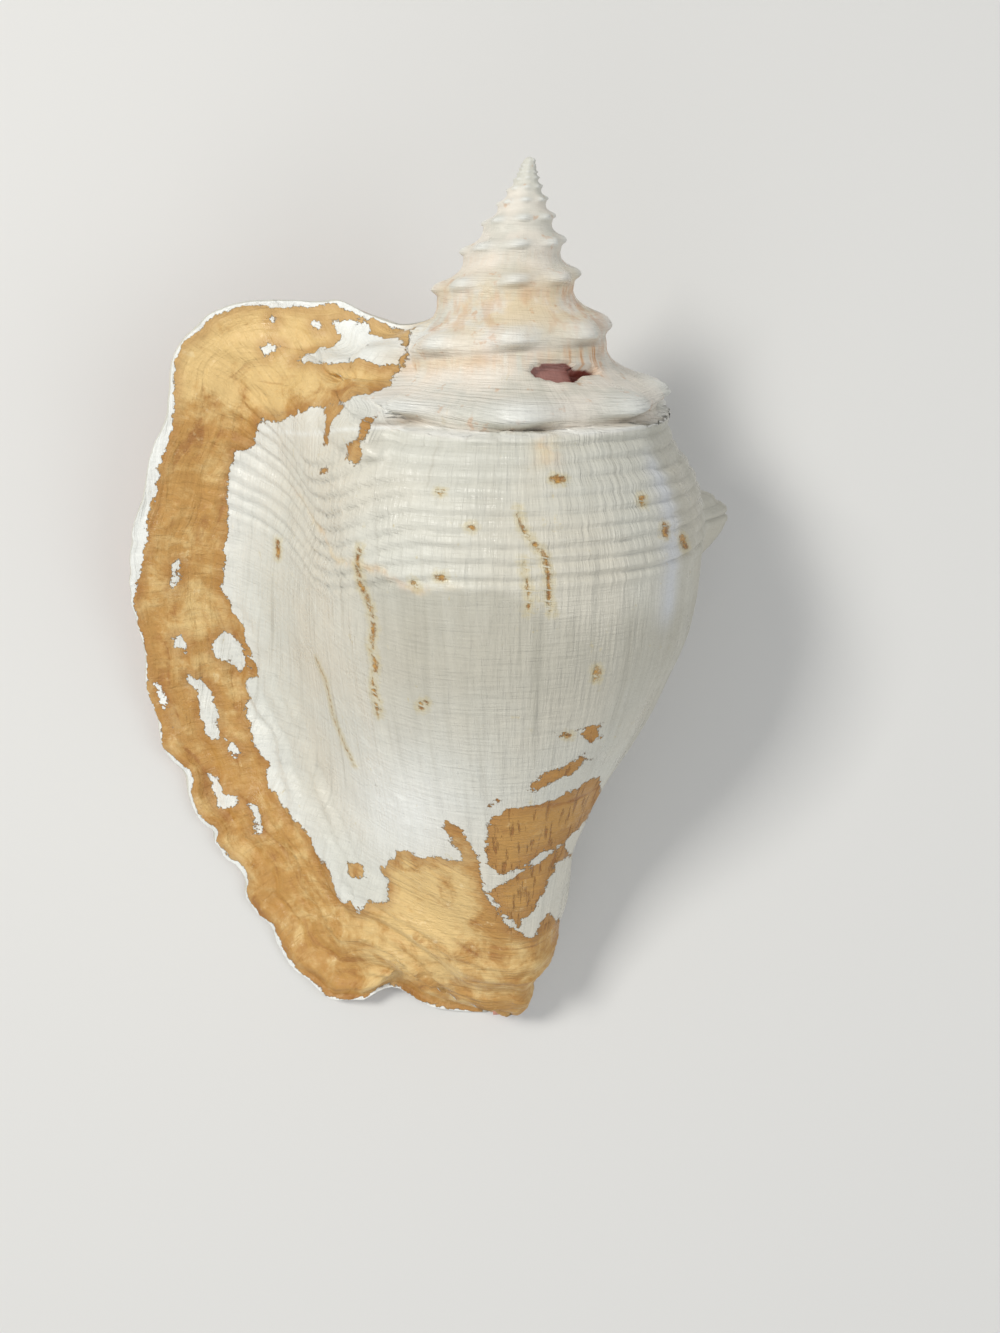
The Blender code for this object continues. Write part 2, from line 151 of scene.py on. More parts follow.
@dataclass(frozen=True)
class Axis:
    """The coiling axis and how it lies over the ground."""

    length: float = 240.3
    tilt: float = 18.0
    tip_height: float = 6.9
    centre: tuple[float, float] = (-28.185, 114.24)
    shift: Pairs = (
        (0, 0), (12, -1.6), (22, -3.4), (34, -4.8), (46, -4.6), (62, -4), (240, -4),
    )

    def to_world(self, points: Array) -> Array:
        """From a, b and t in millimetres to metres over the ground.

        Args:
            points: Rows of a, b and t.

        Returns:
            Rows of x, y and z, worn flat where the shell rests on the ground.
        """
        tilt = radians(self.tilt)
        a, b, t = points[..., 0], points[..., 1], points[..., 2]
        y = t * cos(tilt) - b * sin(tilt)
        z = self.tip_height + t * sin(tilt) + b * cos(tilt)
        return np.stack([a - self.centre[0], y - self.centre[1], z], axis=-1) * MM


@dataclass(frozen=True)
class SpireSizes:
    """The stepped spire: whorls, shoulders and knobs."""

    seam_depths: Pairs = (
        (1.0, -12.4), (2.6, -9.2), (5.3, -7), (7.6, -6), (10.8, -5), (15.2, -4), (21.7, -3),
        (30.4, -2), (44.4, -1), (61.2, 0), (84, 1), (118, 2), (240, 4),
    )
    last_seam_depth: float = 61.2
    radius: Pairs = (
        (0, 0.5), (0.8, 1.6), (2.5, 2.2), (4.6, 3.0), (11.2, 6.7), (17.7, 10.8),
        (28.3, 17.3), (40, 25.4), (50, 33.4), (57.2, 40.2), (61.2, 43.0), (84, 62.0),
        (118, 92.0),
    )
    step: Pairs = (
        (0, 0.88), (0.2, 0.82), (0.32, 0.815), (0.46, 0.85), (0.6, 0.91), (0.7, 0.938),
        (0.8, 0.935), (0.9, 0.905), (1.0, 0.88),
    )
    knob_pitch: float = 45.0
    knob_angle: float = 88.0
    knob_place: float = 0.745
    knob_half_widths: tuple[float, float] = (12.0, 0.15)
    knob_height: float = 0.11


@dataclass(frozen=True)
class BodySizes:
    """The last whorl: its radius at seven angles along its length, and its blunt spines."""

    radius: tuple[tuple[float, Pairs], ...] = (
        (-360.0, (
            (0, 1), (20, 2), (60, 5), (100, 13), (125, 21), (150, 30), (165, 34), (200, 30),
        )),
        (-270.0, (
            (0, 1.5), (20, 3), (60, 7), (100, 17.5), (125, 25.5), (150, 33), (165, 37),
            (200, 30),
        )),
        (-180.0, (
            (0, 2), (20, 4.5), (40, 7), (60, 10.5), (80, 16.5), (100, 24), (120, 31),
            (136, 36), (150, 39), (162, 41), (174, 42), (181, 41), (187, 34), (193, 28),
        )),
        (-90.0, (
            (0, 3), (20, 8), (40, 11), (60, 15), (80, 22.5), (102, 33), (124, 43), (138, 46),
            (152, 47), (166, 46), (176, 42), (184, 38), (190, 33),
        )),
        (0.0, (
            (0, 2), (8, 5.5), (20, 8), (32, 12.5), (45, 16), (59, 16.5), (70, 20.5), (82, 26),
            (95, 34), (102, 38), (112, 42.5), (124, 47.5), (136, 49.5), (150, 50),
            (160, 48.3), (166, 45.8), (172, 41.5), (178, 39.8), (184, 39),
        )),
        (90.0, (
            (0, 4), (12, 11), (25, 17), (40, 21.5), (60, 28), (80, 35.5), (100, 43.5),
            (115, 48.5), (130, 52), (145, 53), (155, 52), (165, 49.5), (172, 46.5),
            (179, 42.5), (184, 41),
        )),
        (180.0, (
            (0, 8), (12, 15), (25, 21), (40, 26), (60, 34), (80, 42), (100, 50), (115, 56),
            (130, 60), (145, 61), (155, 60), (165, 57), (172, 52), (179, 45), (184, 41),
        )),
    )
    shoulder_radius: float = 50.0
    # Each spine: angle, height along the axis, reach and base size.
    spines: tuple[tuple[float, float, float, float], ...] = (
        (-27, 147, 18.0, 12.5),
        (-64, 148, 12.6, 15.0),
        (-113, 149, 13.2, 15.0),
    )


@dataclass(frozen=True)
class LipSizes:
    """The flared lip: where it leaves the coil, its rim and its thickness."""

    wall: float = 4.5
    thickness: float = 6.0
    rounding: float = 6.0
    clearance: float = 7.5
    # The height at which the lip ends, and how fast the sections lose it there.
    top: float = 203.0
    top_fade: float = 4.0
    # For the section that starts at each height: a, b and t of the rim.
    rim: tuple[tuple[float, tuple[float, float, float]], ...] = (
        (-3, (-4.0, -4.5, -2.0)),
        (2, (-14.8, -5.9, -1.4)),
        (7, (-27.2, -4.4, 0.6)),
        (13, (-40.7, -2.4, 7.4)),
        (18, (-48.5, -1.0, 4.2)),
        (23, (-56.5, -3.2, 3.0)),
        (29, (-67.0, -6.8, 8.6)),
        (36, (-75.0, -10.2, 18.6)),
        (44, (-84.4, -14.2, 32.2)),
        (52, (-92.5, -17.8, 46.0)),
        (59, (-98.8, -20.0, 53.6)),
        (66, (-102.6, -22.2, 61.9)),
        (74, (-107.9, -24.0, 75.0)),
        (86, (-111.2, -24.6, 91.9)),
        (97, (-112.2, -23.5, 111.0)),
        (107, (-113.4, -22.0, 125.8)),
        (116, (-112.2, -21.0, 136.0)),
        (126, (-109.0, -20.0, 147.6)),
        (136, (-105.2, -19.0, 159.5)),
        (148, (-98.6, -17.5, 175.8)),
        (157, (-94.9, -16.0, 189.6)),
        (163, (-90.0, -14.5, 198.0)),
        (169, (-83.8, -13.0, 202.2)),
        (177, (-70.0, -10.5, 207.0)),
        (185, (-57.0, -8.0, 206.4)),
        (191, (-49.0, -6.5, 207.2)),
        (196, (-40.0, -4.0, 203.5)),
        (200, (-33.0, -1.0, 201.5)),
        (203, (-30.0, 0.0, 203.0)),
    )
    root_angle: Pairs = (
        (0, 80), (30, 88), (60, 96), (100, 104), (150, 106), (165, 112), (175, 122),
        (181, 132), (186, 142), (192, 152), (198, 160), (204, 165),
    )
    heading: Pairs = (
        (0, -88), (10, -82), (20, -65), (40, -42), (60, -25), (80, -10), (110, 0), (140, 12),
        (160, 30), (170, 45), (180, 62), (190, 75), (203, 85),
    )
    flare: Pairs = (
        (0, -0.1), (40, 0.05), (70, 0.22), (110, 0.32), (160, 0.3), (190, 0.15), (203, 0.0),
    )
    hollow_end: Pairs = (
        (0, -184), (12, -190), (25, -235), (45, -290), (60, -300), (145, -300), (156, -270),
        (164, -225), (170, -195), (175, -184), (203, -182),
    )


@dataclass
class ShellForm:
    """The smooth form of the shell as closed cross-sections."""

    axis: Axis = field(default_factory=Axis)
    spire: SpireSizes = field(default_factory=SpireSizes)
    body: BodySizes = field(default_factory=BodySizes)
    lip: LipSizes = field(default_factory=LipSizes)
    # Columns of a section on its lip, its coil and the hollow's two walls.
    columns: tuple[int, int, int, int] = (88, 148, 18, 44)
    # The angle at which the coil turns into the hollow.
    coil_end: float = -150.0
    # Row spacing along the axis against the depth below the apex.
    spacing: Pairs = (
        (0, 0.3), (4, 0.42), (20, 0.5), (54, 0.62), (57, 0.38), (65, 0.38), (69, 0.62),
        (98, 0.68), (108, 0.98), (222, 0.98), (240, 0.7),
    )
    # The last point of the front tip, as a, b and t.
    tip: tuple[float, float, float] = (0.4, -3.5, -1.2)

    def __post_init__(self) -> None:
        """Make the curves that the sections are read from."""
        self.shift = Curve(self.axis.shift)
        self.whorl = Curve(tuple((log(d), w) for d, w in self.spire.seam_depths))
        self.spire_curve = Curve(self.spire.radius)
        self.step_curve = Curve(self.spire.step)
        self.body_angles = [angle for angle, _ in self.body.radius]
        self.body_curves = [Curve(points) for _, points in self.body.radius]
        self.rim = [Curve(tuple((t, p[k]) for t, p in self.lip.rim)) for k in range(3)]
        self.root_angle = Curve(self.lip.root_angle)
        self.heading = Curve(self.lip.heading)
        self.flare = Curve(self.lip.flare)
        self.hollow_end = Curve(self.lip.hollow_end)
        self.ragged = Ripple(11)
        self.uneven = Ripple(12)

    def offset(self, t: Array | float) -> Array:
        """How far the coil's centre stands to the right of the line through the apex."""
        return self.shift(self.axis.length - t)

    def phase(self, angle: Array, t: Array | float) -> Array:
        """Whorls counted down from the last seam, which is 0; the spire is below 0."""
        depth = np.maximum(self.axis.length - t, 1.0)
        turn = (angle + 180.0) % 360.0 - 180.0
        right_dip = 0.05 * bell((turn - 15) / 50)
        left_rise = 0.05 * bell((angle - 135) / 25) * smooth((depth - 50) / 8)
        return self.whorl(np.log(depth) - right_dip + left_rise) - (angle - 90.0) / 360.0

    def knobs(self, angle: Array, place: Array) -> Array:
        """Blunt knobs on the shoulder of each spire whorl, from 0 to 1."""
        pitch = self.spire.knob_pitch
        wide, long = self.spire.knob_half_widths
        across = (angle - self.spire.knob_angle + pitch / 2) % pitch - pitch / 2
        return np.exp(-((across / wide) ** 2) - ((place - self.spire.knob_place) / long) ** 4)

    def spire_radius(self, angle: Array, t: Array | float) -> Array:
        """Radius of the stepped spire: a hollow ramp below each seam, then the shoulder."""
        place = self.phase(angle, t) % 1.0
        knob = self.spire.knob_height * self.knobs(angle, place)
        return self.spire_curve(self.axis.length - t) * (self.step_curve(place) + knob)

    def body_radius(self, angle: Array, t: Array | float) -> Array:
        """Radius of the last whorl, from the table of profiles."""
        table = np.stack([curve(t) * np.ones_like(angle) for curve in self.body_curves])
        last = len(self.body_angles) - 1
        place = np.clip((angle - self.body_angles[0]) / 90.0, 0, last - 1e-9)
        i = place.astype(int)
        u = place - i
        at = np.arange(len(angle))
        p0 = table[np.maximum(i - 1, 0), at]
        p1 = table[i, at]
        p2 = table[np.minimum(i + 1, last), at]
        p3 = table[np.minimum(i + 2, last), at]
        return p1 + 0.5 * u * (
            p2 - p0 + u * (2 * p0 - 5 * p1 + 4 * p2 - p3 + u * (3 * (p1 - p2) + p3 - p0))
        )

    def spines(self, angle: Array, t: Array | float) -> Array:
        """Reach of the last whorl's blunt spines above its surface."""
        reach = np.zeros_like(angle)
        for at_angle, at_t, height, base in self.body.spines:
            across = np.radians(angle - at_angle) * self.body.shoulder_radius
            along = (t - at_t) * np.where(np.asarray(t) > at_t, 1.25, 0.8)
            distance = np.sqrt(across**2 + along**2 + 4.0) - 2.0
            reach = np.maximum(reach, height * (1 - smooth(distance / base / 1.25)))
        return reach

    def coil_radius(self, angle: Array, t: Array | float) -> Array:
        """Outer radius of the coil, spire and last whorl together."""
        phase = self.phase(angle, t)
        spire = self.spire_radius(angle, t)
        body = self.body_radius(angle, t) + self.spines(angle, t)
        edge = phase + 0.016 * self.ragged(angle / 3.1) + 0.02 * self.uneven(angle / 16.0)
        body = body + 1.3 * np.exp(-np.maximum(edge, 0) / 0.05) * smooth((angle + 60) / 60)
        later = smooth((phase - 0.75) / 0.35)
        share = np.where(angle < -180, later, np.maximum(smooth((angle + 180) / 80), later))
        lap = smooth(edge / 0.035 + 0.5)
        return spire + (body - spire) * share * lap

    def on_coil(self, angle: Array, t: Array | float, inwards: float = 0.0) -> Array:
        """Points on the coil, in a, b and t."""
        radius = self.coil_radius(angle, t) - inwards
        turn = np.radians(angle)
        a = self.offset(t) + radius * np.cos(turn)
        return np.stack([a, radius * np.sin(turn), t + np.zeros_like(a)], axis=1)

    def clear(self, points: Array, gap: Array | float, cover: Array | float = 0.0) -> Array:
        """Push points out so that they stay a gap outside the whorl they wind round.

        Args:
            points: Rows of a, b and t.
            gap: Least distance, in millimetres.
            cover: From 0 to 1, how far they pass over the spire's knobs without following.

        Returns:
            The pushed points.
        """
        centre = self.offset(points[:, 2])
        a, b = points[:, 0] - centre, points[:, 1]
        angle = np.degrees(np.arctan2(b, a))
        angle = np.where(angle > 0, angle - 360, angle)
        least = self.coil_radius(angle, points[:, 2])
        tops = np.minimum(
            self.spire_curve(self.axis.length - points[:, 2]),
            self.spire_curve(self.spire.last_seam_depth),
        )
        least = least + np.maximum(tops - least, 0.0) * cover + gap
        grow = np.maximum(least / np.maximum(np.hypot(a, b), 1e-6), 1.0)
        return np.stack([centre + a * grow, b * grow, points[:, 2]], axis=1)

    def lip_line(self, t: float, count: int = 260) -> Array:
        """The top of the lip in one section, as points from its root to the rim."""
        root_angle = float(self.root_angle(t))
        root = self.on_coil(np.array([root_angle]), t)[0]
        rim = np.array([float(curve(t)) for curve in self.rim])
        turn = radians(root_angle)
        start = np.array([-sin(turn), cos(turn), 0.0])
        start += np.array([-0.2, 0.0, 0.5]) * smooth((t - 168) / 18)
        start += np.array([-0.6, 0.5, 0.0]) * smooth((t - 184) / 8)
        heading = radians(float(self.heading(t)))
        finish = np.array([-cos(heading), float(self.flare(t)), sin(heading)])
        reach = np.linalg.norm(rim - root)
        flat = 0.4 + 0.14 * window(t, 30, 40, 175, 30)
        from_root = root + unit(start) * reach * 0.45
        to_rim = rim - unit(finish) * reach * flat
        s = np.linspace(0, 1, count)[:, None]
        line = (
            (1 - s) ** 3 * root + 3 * s * (1 - s) ** 2 * from_root
            + 3 * s * s * (1 - s) * to_rim + s**3 * rim
        )
        ease = smooth(np.linalg.norm(line - root, axis=1) / 10)
        over = ease * window(t, 166, 8, 202, 14)
        return self.clear(line, min(self.lip.clearance, 0.3 * reach) * ease, over)

    def inner_side(self, line: Array, thickness: Array) -> Array:
        """A line offset to its inner side, rounded off to nothing at its last point."""
        way = np.gradient(line, axis=0)
        way[:, 2] = 0
        way = unit(way)
        inner = np.stack([-way[:, 1], way[:, 0], np.zeros(len(line))], axis=1)
        to_rim = np.linalg.norm(np.diff(line, axis=0), axis=1)[::-1].cumsum()[::-1]
        to_rim = np.append(to_rim, 0.0)
        share = np.sqrt(1 - (1 - np.clip(to_rim / self.lip.rounding, 0, 1)) ** 2)
        return line + inner * (thickness * share)[:, None]

    def hollow(self, t: float, lip: Array) -> tuple[Array, Array]:
        """The two walls of the hollow in one section.

        Args:
            t: Height of the section.
            lip: The lip's top line in this section.

        Returns:
            The inner whorl's line, and the outer wall's line out to the rim.
        """
        end = float(self.hollow_end(t))
        root_angle = float(self.root_angle(t))
        reach = np.linalg.norm(lip[-1] - lip[0])
        wall = self.lip.wall
        thickness = wall + (self.lip.thickness - wall) * np.linspace(0, 1, len(lip))
        under = self.inner_side(lip, np.minimum(thickness, 0.35 * reach))
        if end + 360 < root_angle:
            back = np.linspace(end + 360, root_angle, 120)[:-1]
            under = np.concatenate([self.on_coil(back, t, wall), under])
        under = self.clear(under, 1.5 + 1.5 * smooth((172 - t) / 20))
        angle = np.degrees(np.arctan2(under[:, 1], under[:, 0] - self.offset(t)))
        angle = np.where(angle < -30, angle + 360, angle)
        beyond = np.nonzero(angle >= end + 360)[0]
        under = under[beyond[0] if len(beyond) else 0:]
        share = np.linspace(0, 1, 160)
        level = t + (under[0, 2] - t) * smooth(share)
        turn = self.coil_end + (end - self.coil_end) * share
        return self.on_coil(turn, level), under

    @staticmethod
    def spread(line: Array, shares: Array) -> Array:
        """Points at the given shares of a line's length."""
        steps = np.linalg.norm(np.diff(line, axis=0), axis=1)
        along = np.concatenate([[0], np.cumsum(steps)])
        along /= along[-1]
        return np.stack([np.interp(shares, along, line[:, k]) for k in range(3)], axis=1)

    def lipped_section(self, t: float) -> Array:
        """A closed section of the shell where it has a lip, from the rim round."""
        lip_count, coil_count, in_count, out_count = self.columns
        lip = self.lip_line(t)
        inner_wall, under = self.hollow(t, lip)
        top = self.spread(lip[::-1], (np.arange(lip_count) / lip_count) ** 1.12)
        angles = np.linspace(
            float(self.root_angle(t)), self.coil_end, coil_count, endpoint=False
        )
        way_in = self.spread(inner_wall, np.linspace(0, 1, in_count))
        shares = 1 - (1 - np.linspace(0, 1, out_count + 1)[:-1]) ** 1.7
        way_out = self.spread(under, shares)
        return np.concatenate([top, self.on_coil(angles, t), way_in, way_out])

    def ring(self, t: float) -> Array:
        """A section above the lip: once round the spire, closing on itself."""
        lip_count, coil_count, in_count, out_count = self.columns
        root_angle = float(self.root_angle(min(t, 204)))
        crowded = np.concatenate([
            np.linspace(180, root_angle, lip_count, endpoint=False),
            np.linspace(root_angle, self.coil_end, coil_count, endpoint=False),
            np.linspace(self.coil_end, -180, in_count + out_count, endpoint=False),
        ])
        even = np.linspace(180, -180, sum(self.columns), endpoint=False)
        return self.on_coil(crowded + (even - crowded) * smooth((t - 204) / 22), t)

    def lip_share(self, t: Array | float) -> Array:
        """How far a section has its lip, from 0 on the spire to 1 below the lip's top."""
        return smooth((self.lip.top - t) / self.lip.top_fade)

    def section(self, t: float) -> Array:
        """The section at a height, easing from the spire's plain ring to the lipped one."""
        share = float(self.lip_share(t))
        if share == 0:
            return self.ring(t)
        if share == 1:
            return self.lipped_section(t)
        return self.ring(t) * (1 - share) + self.lipped_section(t) * share

    def heights(self) -> Array:
        """Heights of the sections, from just under the apex to just above the front tip."""
        spacing = Curve(self.spacing)
        depths = [0.3]
        while depths[-1] < self.axis.length - 1.0:
            depths.append(depths[-1] + float(spacing(depths[-1])))
        return self.axis.length - np.array(depths[:-1])


@dataclass(frozen=True)
class Fold:
    """A roll or a groove along a line on the back, as x and y in millimetres."""

    line: Pairs
    half_width: float
    height: float

    def rise(self, x: Array, y: Array) -> Array:
        """Height of the fold at places x, y; below 0 in a groove."""
        distance = distance_to_line(self.line, x, y)
        return self.height * bell(distance / self.half_width)


@dataclass(frozen=True)
class ReliefSizes:
    """Heights and pitches of the low forms on the shell's surface, in millimetres."""

    # The radius at which distances round the shell are measured, and round its hole.
    mean_radius: float = 45.0
    hole_radius: float = 26.0
    cord_pitch: float = 3.6
    cord_height: float = 1.15
    # The cords fall this far down the lip as they run out along it.
    cord_drop: float = 16.0
    cord_drop_length: float = 60.0
    cord_top: float = 178.3
    cord_bottom: float = 144.0
    ridge_height: float = 0.75
    ridge_pitch: float = 4.6
    # How far in from the rim the ridges reach, and how slowly they fade there.
    ridge_reach: float = 42.0
    ridge_fade: float = 22.0
    old_edge_angle: float = 37.5
    old_edge_height: float = 0.5
    hole_angle: float = 58.6
    hole_height: float = 191.5
    hole_half_length: float = 9.8
    hole_half_width: float = 1.85
    hole_depth: float = 4.6
    rim_rounding: float = 3.2
    # How far the rim is drawn out or in against the height of its section, and how far
    # in from the rim that is felt.
    scallops: Pairs = (
        (4, 0), (9, 0.5), (12, -1.0), (16, 0.8), (20, -0.8), (24, 0.6), (28, -0.6), (32, 0.9),
        (36, 0.3), (38.5, -1.6), (41, 0.2), (44, 0.3), (46.3, -2.8), (48.5, -2.4),
        (50.5, 0.2), (53.5, -0.3), (56, -3.0), (58.5, -1.4), (62, -0.6), (66, -1.3),
        (69.5, -3.3), (73, -0.4), (77, 0.4), (82, -0.8), (88, 0.5), (95, -0.5), (103, 0.4),
        (112, -0.3), (122, 0.4), (133, -0.6), (140, 0.5), (150, -0.7), (158, 0.7),
        (165, -0.6), (171, 0.8), (177, -0.7), (183, 0.6), (189, -0.5), (196, 0),
    )
    scallop_reach: float = 16.0
    # How far the front end is drawn out against x.
    front_edge: Pairs = (
        (-60, 0), (-6, 0), (2, 1.1), (10, 1.5), (17, 1.1), (21, 0.1), (24, -0.4), (27, 0.6),
        (29.5, 1.3), (33, 0.5), (36, 0), (60, 0),
    )
    folds: tuple[Fold, ...] = (
        Fold(((-27, 66), (-17, 66.5), (-9, 68), (-4, 69)), 2.6, 1.5),
        Fold(((-18, 63), (-13, 61.5), (-7, 61.5)), 1.1, -1.3),
        Fold(((-30, 75), (-18, 73), (-6, 72)), 3.4, -1.1),
        Fold(((-36, 70), (-28, 60), (-27, 52)), 1.8, 0.6),
        Fold(((-43, 68), (-37, 60), (-34, 50)), 1.8, 0.5),
    )


def distance_to_line(line: Pairs, x: Array, y: Array) -> Array:
    """Distance from places x, y to a line of straight stretches."""
    nearest = np.full(x.shape, 1e9)
    for (x0, y0), (x1, y1) in zip(line, line[1:]):
        dx, dy = x1 - x0, y1 - y0
        share = np.clip(((x - x0) * dx + (y - y0) * dy) / max(dx * dx + dy * dy, 1e-9), 0, 1)
        nearest = np.minimum(nearest, np.hypot(x - x0 - share * dx, y - y0 - share * dy))
    return nearest


class Surface:
    """The shell's surface as a grid: a row for each section, a column round it."""

    def __init__(self, form: ShellForm, relief: ReliefSizes) -> None:
        """Lay out the grid and raise the low forms on it.

        Args:
            form: The smooth form.
            relief: Sizes of the low forms.
        """
        self.form = form
        self.relief = relief
        self.heights = form.heights()
        grid = np.stack([form.section(t) for t in self.heights])
        self.rows, self.count = grid.shape[:2]
        self.t_row = self.heights[:, None] + np.zeros((1, self.count))
        ends = np.cumsum(form.columns)
        self.part = np.searchsorted(ends, np.arange(self.count), side="right")[None, :]
        self.lipped = form.lip_share(self.t_row)
        across = grid[..., 0] - form.offset(grid[..., 2])
        angle = np.degrees(np.arctan2(grid[..., 1], across))
        self.angle = np.where(self.is_on(Part.LIP) & (angle < 0), angle + 360, angle)
        self.around = np.radians(self.angle) * relief.mean_radius
        self.along_hole = np.radians(self.angle - relief.hole_angle) * relief.hole_radius
        steps = np.linalg.norm(np.roll(grid, -1, axis=1) - grid, axis=2)
        along = np.concatenate([np.zeros((self.rows, 1)), np.cumsum(steps, axis=1)], axis=1)
        self.from_rim = along[:, :-1]
        self.to_rim = along[:, -1:] - along[:, :-1]
        self.outer = (self.part <= Part.COIL.value) * np.ones_like(self.t_row)
        self.on_lip = self.is_on(Part.LIP) * self.lipped
        self.to_root = self.from_rim[:, [self.column(Part.COIL, 0)]] - self.from_rim
        self.girth = np.hypot(grid[..., 1], across)
        self.hole = self.hole_mask()
        grid = self.scalloped(grid)
        self.levels = grid[..., 2]
        self.points = form.axis.to_world(grid)
        self.margin, self.beside = self.margin_places()
        drop = relief.cord_drop * smooth(self.to_root / relief.cord_drop_length)
        self.cord_level = self.t_row + drop * self.on_lip
        self.cords = self.cord_wave()
        self.points += self.normals() * (self.height() * MM)[..., None] + self.rounded_rim()
        self.points[..., 1] -= self.front_edge() * MM
        self.points[..., 2] = np.maximum(self.points[..., 2], 0.0)

    def is_on(self, part: Part) -> Array:
        """Which columns lie on one stretch of the section."""
        return self.part == part.value

    def normals(self) -> Array:
        """Outward unit normals of the grid."""
        across = np.roll(self.points, -1, axis=1) - np.roll(self.points, 1, axis=1)
        down = np.gradient(self.points, axis=0)
        normal = unit(np.cross(down, across))
        crest = np.unravel_index(np.argmax(self.points[..., 2]), self.points.shape[:2])
        return normal * np.sign(normal[crest][2])

    def scalloped(self, grid: Array) -> Array:
        """The grid with its rim drawn in and out into uneven scallops."""
        inner = grid[:, self.column(Part.LIP, 0.3)][:, None]
        way = unit(grid[:, :1] - inner)
        swell = Curve(self.relief.scallops)(self.t_row) + 0.35 * Ripple(22)(self.t_row / 2.6)
        swell *= window(self.t_row, 4, 8, 196, 10)
        near = np.minimum(self.from_rim, self.to_rim)
        share = np.clip(1 - near / self.relief.scallop_reach, 0, 1) ** 1.6
        share = share * np.where(self.is_on(Part.COIL), 0.0, 1.0)
        return grid + way * (swell * share)[..., None]

    def column(self, part: Part, share: float) -> int:
        """The column at a share of one stretch of the section."""
        columns = self.form.columns
        return int(sum(columns[: part.value]) + share * columns[part.value])

    def margin_places(self) -> tuple[Array, Array]:
        """Each point's distance from the rim, and how far along the rim its section starts."""
        steps = np.linalg.norm(np.diff(self.points[:, 0], axis=0), axis=1) / MM
        along = np.concatenate([[0.0], np.cumsum(steps)])
        has_rim = self.heights < self.form.lip.top
        rim = self.points[has_rim, 0] / MM
        distance = np.empty(self.points.shape[:2])
        for row, points in enumerate(self.points / MM):
            squares = ((points[:, None] - rim[None]) ** 2).sum(axis=2)
            distance[row] = np.sqrt(squares.min(axis=1))
        return distance, (along - along[has_rim][0])[:, None] + np.zeros((1, self.count))

    def cord_wave(self) -> Array:
        """The spiral cords on the shoulder, from -1 in a groove to 1 on a crest."""
        size = self.relief
        t = self.cord_level
        wander = 0.35 * Ripple(51)(self.around / 7.0, t / 5.0)
        turn = 2 * np.pi * (size.cord_top - t + wander) / size.cord_pitch
        share = window(t, size.cord_bottom, 4, size.cord_top + 2, 4)
        share = share * self.outer
        share *= 1 - self.on_lip * (1 - smooth((self.from_rim - 15) / 8))
        share *= smooth((self.angle + 115) / 40)
        share *= 0.82 + 0.18 * Ripple(52)(self.around / 2.4, t / 2.5)
        turn = turn - 0.55 * np.cos(turn)
        crest = ((1 + np.cos(turn)) / 2) ** 0.5 * 2 - 1
        return crest * share

    def hole_mask(self) -> Array:
        """Where the knocked-in slot is, from 0 to 1."""
        size = self.relief
        along = self.along_hole
        wide = size.hole_half_width * (0.7 + 0.3 * np.tanh((along + 2.4) / 1.2))
        wide = wide + 0.14 * Ripple(31)(along / 1.3)
        for beyond in (along - 4.5, -along - 7.0):
            wide = wide * np.sqrt(np.clip(1 - (np.maximum(beyond, 0) / 4.8) ** 2, 0, 1))
        across = np.abs(self.t_row - size.hole_height - 0.03 * along)
        inside = 1 - smooth((across / np.maximum(wide, 0.3) - 0.85) / 0.35)
        ends = 1 - smooth((np.abs(along) / size.hole_half_length - 0.9) / 0.15)
        return inside * ends * self.is_on(Part.COIL)

    def height(self) -> Array:
        """Height of all the low forms above the smooth form, in millimetres."""
        rise = self.ridges() + self.growth_lines() + self.old_edge()
        last_cord = 1 + 0.6 * bell((self.cord_level - self.relief.cord_bottom - 2) / 2.5)
        rise += 0.5 * self.relief.cord_height * self.cords * last_cord
        x, y = self.points[..., 0] / MM, self.points[..., 1] / MM
        for fold in self.relief.folds:
            rise += fold.rise(x, y) * self.outer
        rise *= 1 - self.on_lip * (1 - smooth(self.from_rim / 2.5))
        shallower = 2.2 * smooth((self.along_hole + 4) / 3)
        return rise - self.hole * (self.relief.hole_depth - shallower)

    def rounded_rim(self) -> Array:
        """How far each point moves, in metres, to round off the rim's upper corner."""
        normals = self.normals()
        above, below = self.column(Part.LIP, 0.05), self.column(Part.WAY_OUT, 0.9)
        out = unit(normals[:, above] + normals[:, below])
        near = np.minimum(self.from_rim, self.to_rim)
        over = np.clip(1 - near / self.relief.rim_rounding, 0, 1) ** 2
        sunk = 0.3 * self.relief.rim_rounding * over * self.lipped * ~self.is_on(Part.COIL)
        return -out[:, None] * sunk[..., None] * MM

    def front_edge(self) -> Array:
        """How far the front end is drawn out, in millimetres, to square off its edge."""
        x, y = self.points[..., 0] / MM, self.points[..., 1] / MM
        return Curve(self.relief.front_edge)(x) * smooth((-96 - y) / 9)

    def ridges(self) -> Array:
        """Rumpled growth ridges that follow the rim, strongest at the lower left."""
        size = self.relief
        front = smooth((self.beside - 130) / 50)
        near = smooth((size.ridge_reach + 12 * front - self.margin) / size.ridge_fade)
        near = near * self.outer
        near = near * smooth((190 - self.t_row) / 15) * self.lipped
        wander = 2.0 * Ripple(41)(self.beside / 8.0, self.margin / 20.0)
        wander = wander + 3.0 * Ripple(42)(self.beside / 24.0, self.margin / 30.0)
        place = (self.margin + wander * smooth(self.margin / 8)) / size.ridge_pitch
        wave = Ripple(43)(place, self.beside / 60.0)
        wave = wave + 0.5 * Ripple(44)(place * 2.3, self.beside / 30)
        lumps = 0.5 * Ripple(45)(self.margin / 6.0, self.beside / 6.5)
        lumps = lumps + 0.22 * Ripple(46)(self.margin / 2.4, self.beside / 2.8)
        return near * (size.ridge_height * (0.8 + 2.0 * front) * wave + lumps)

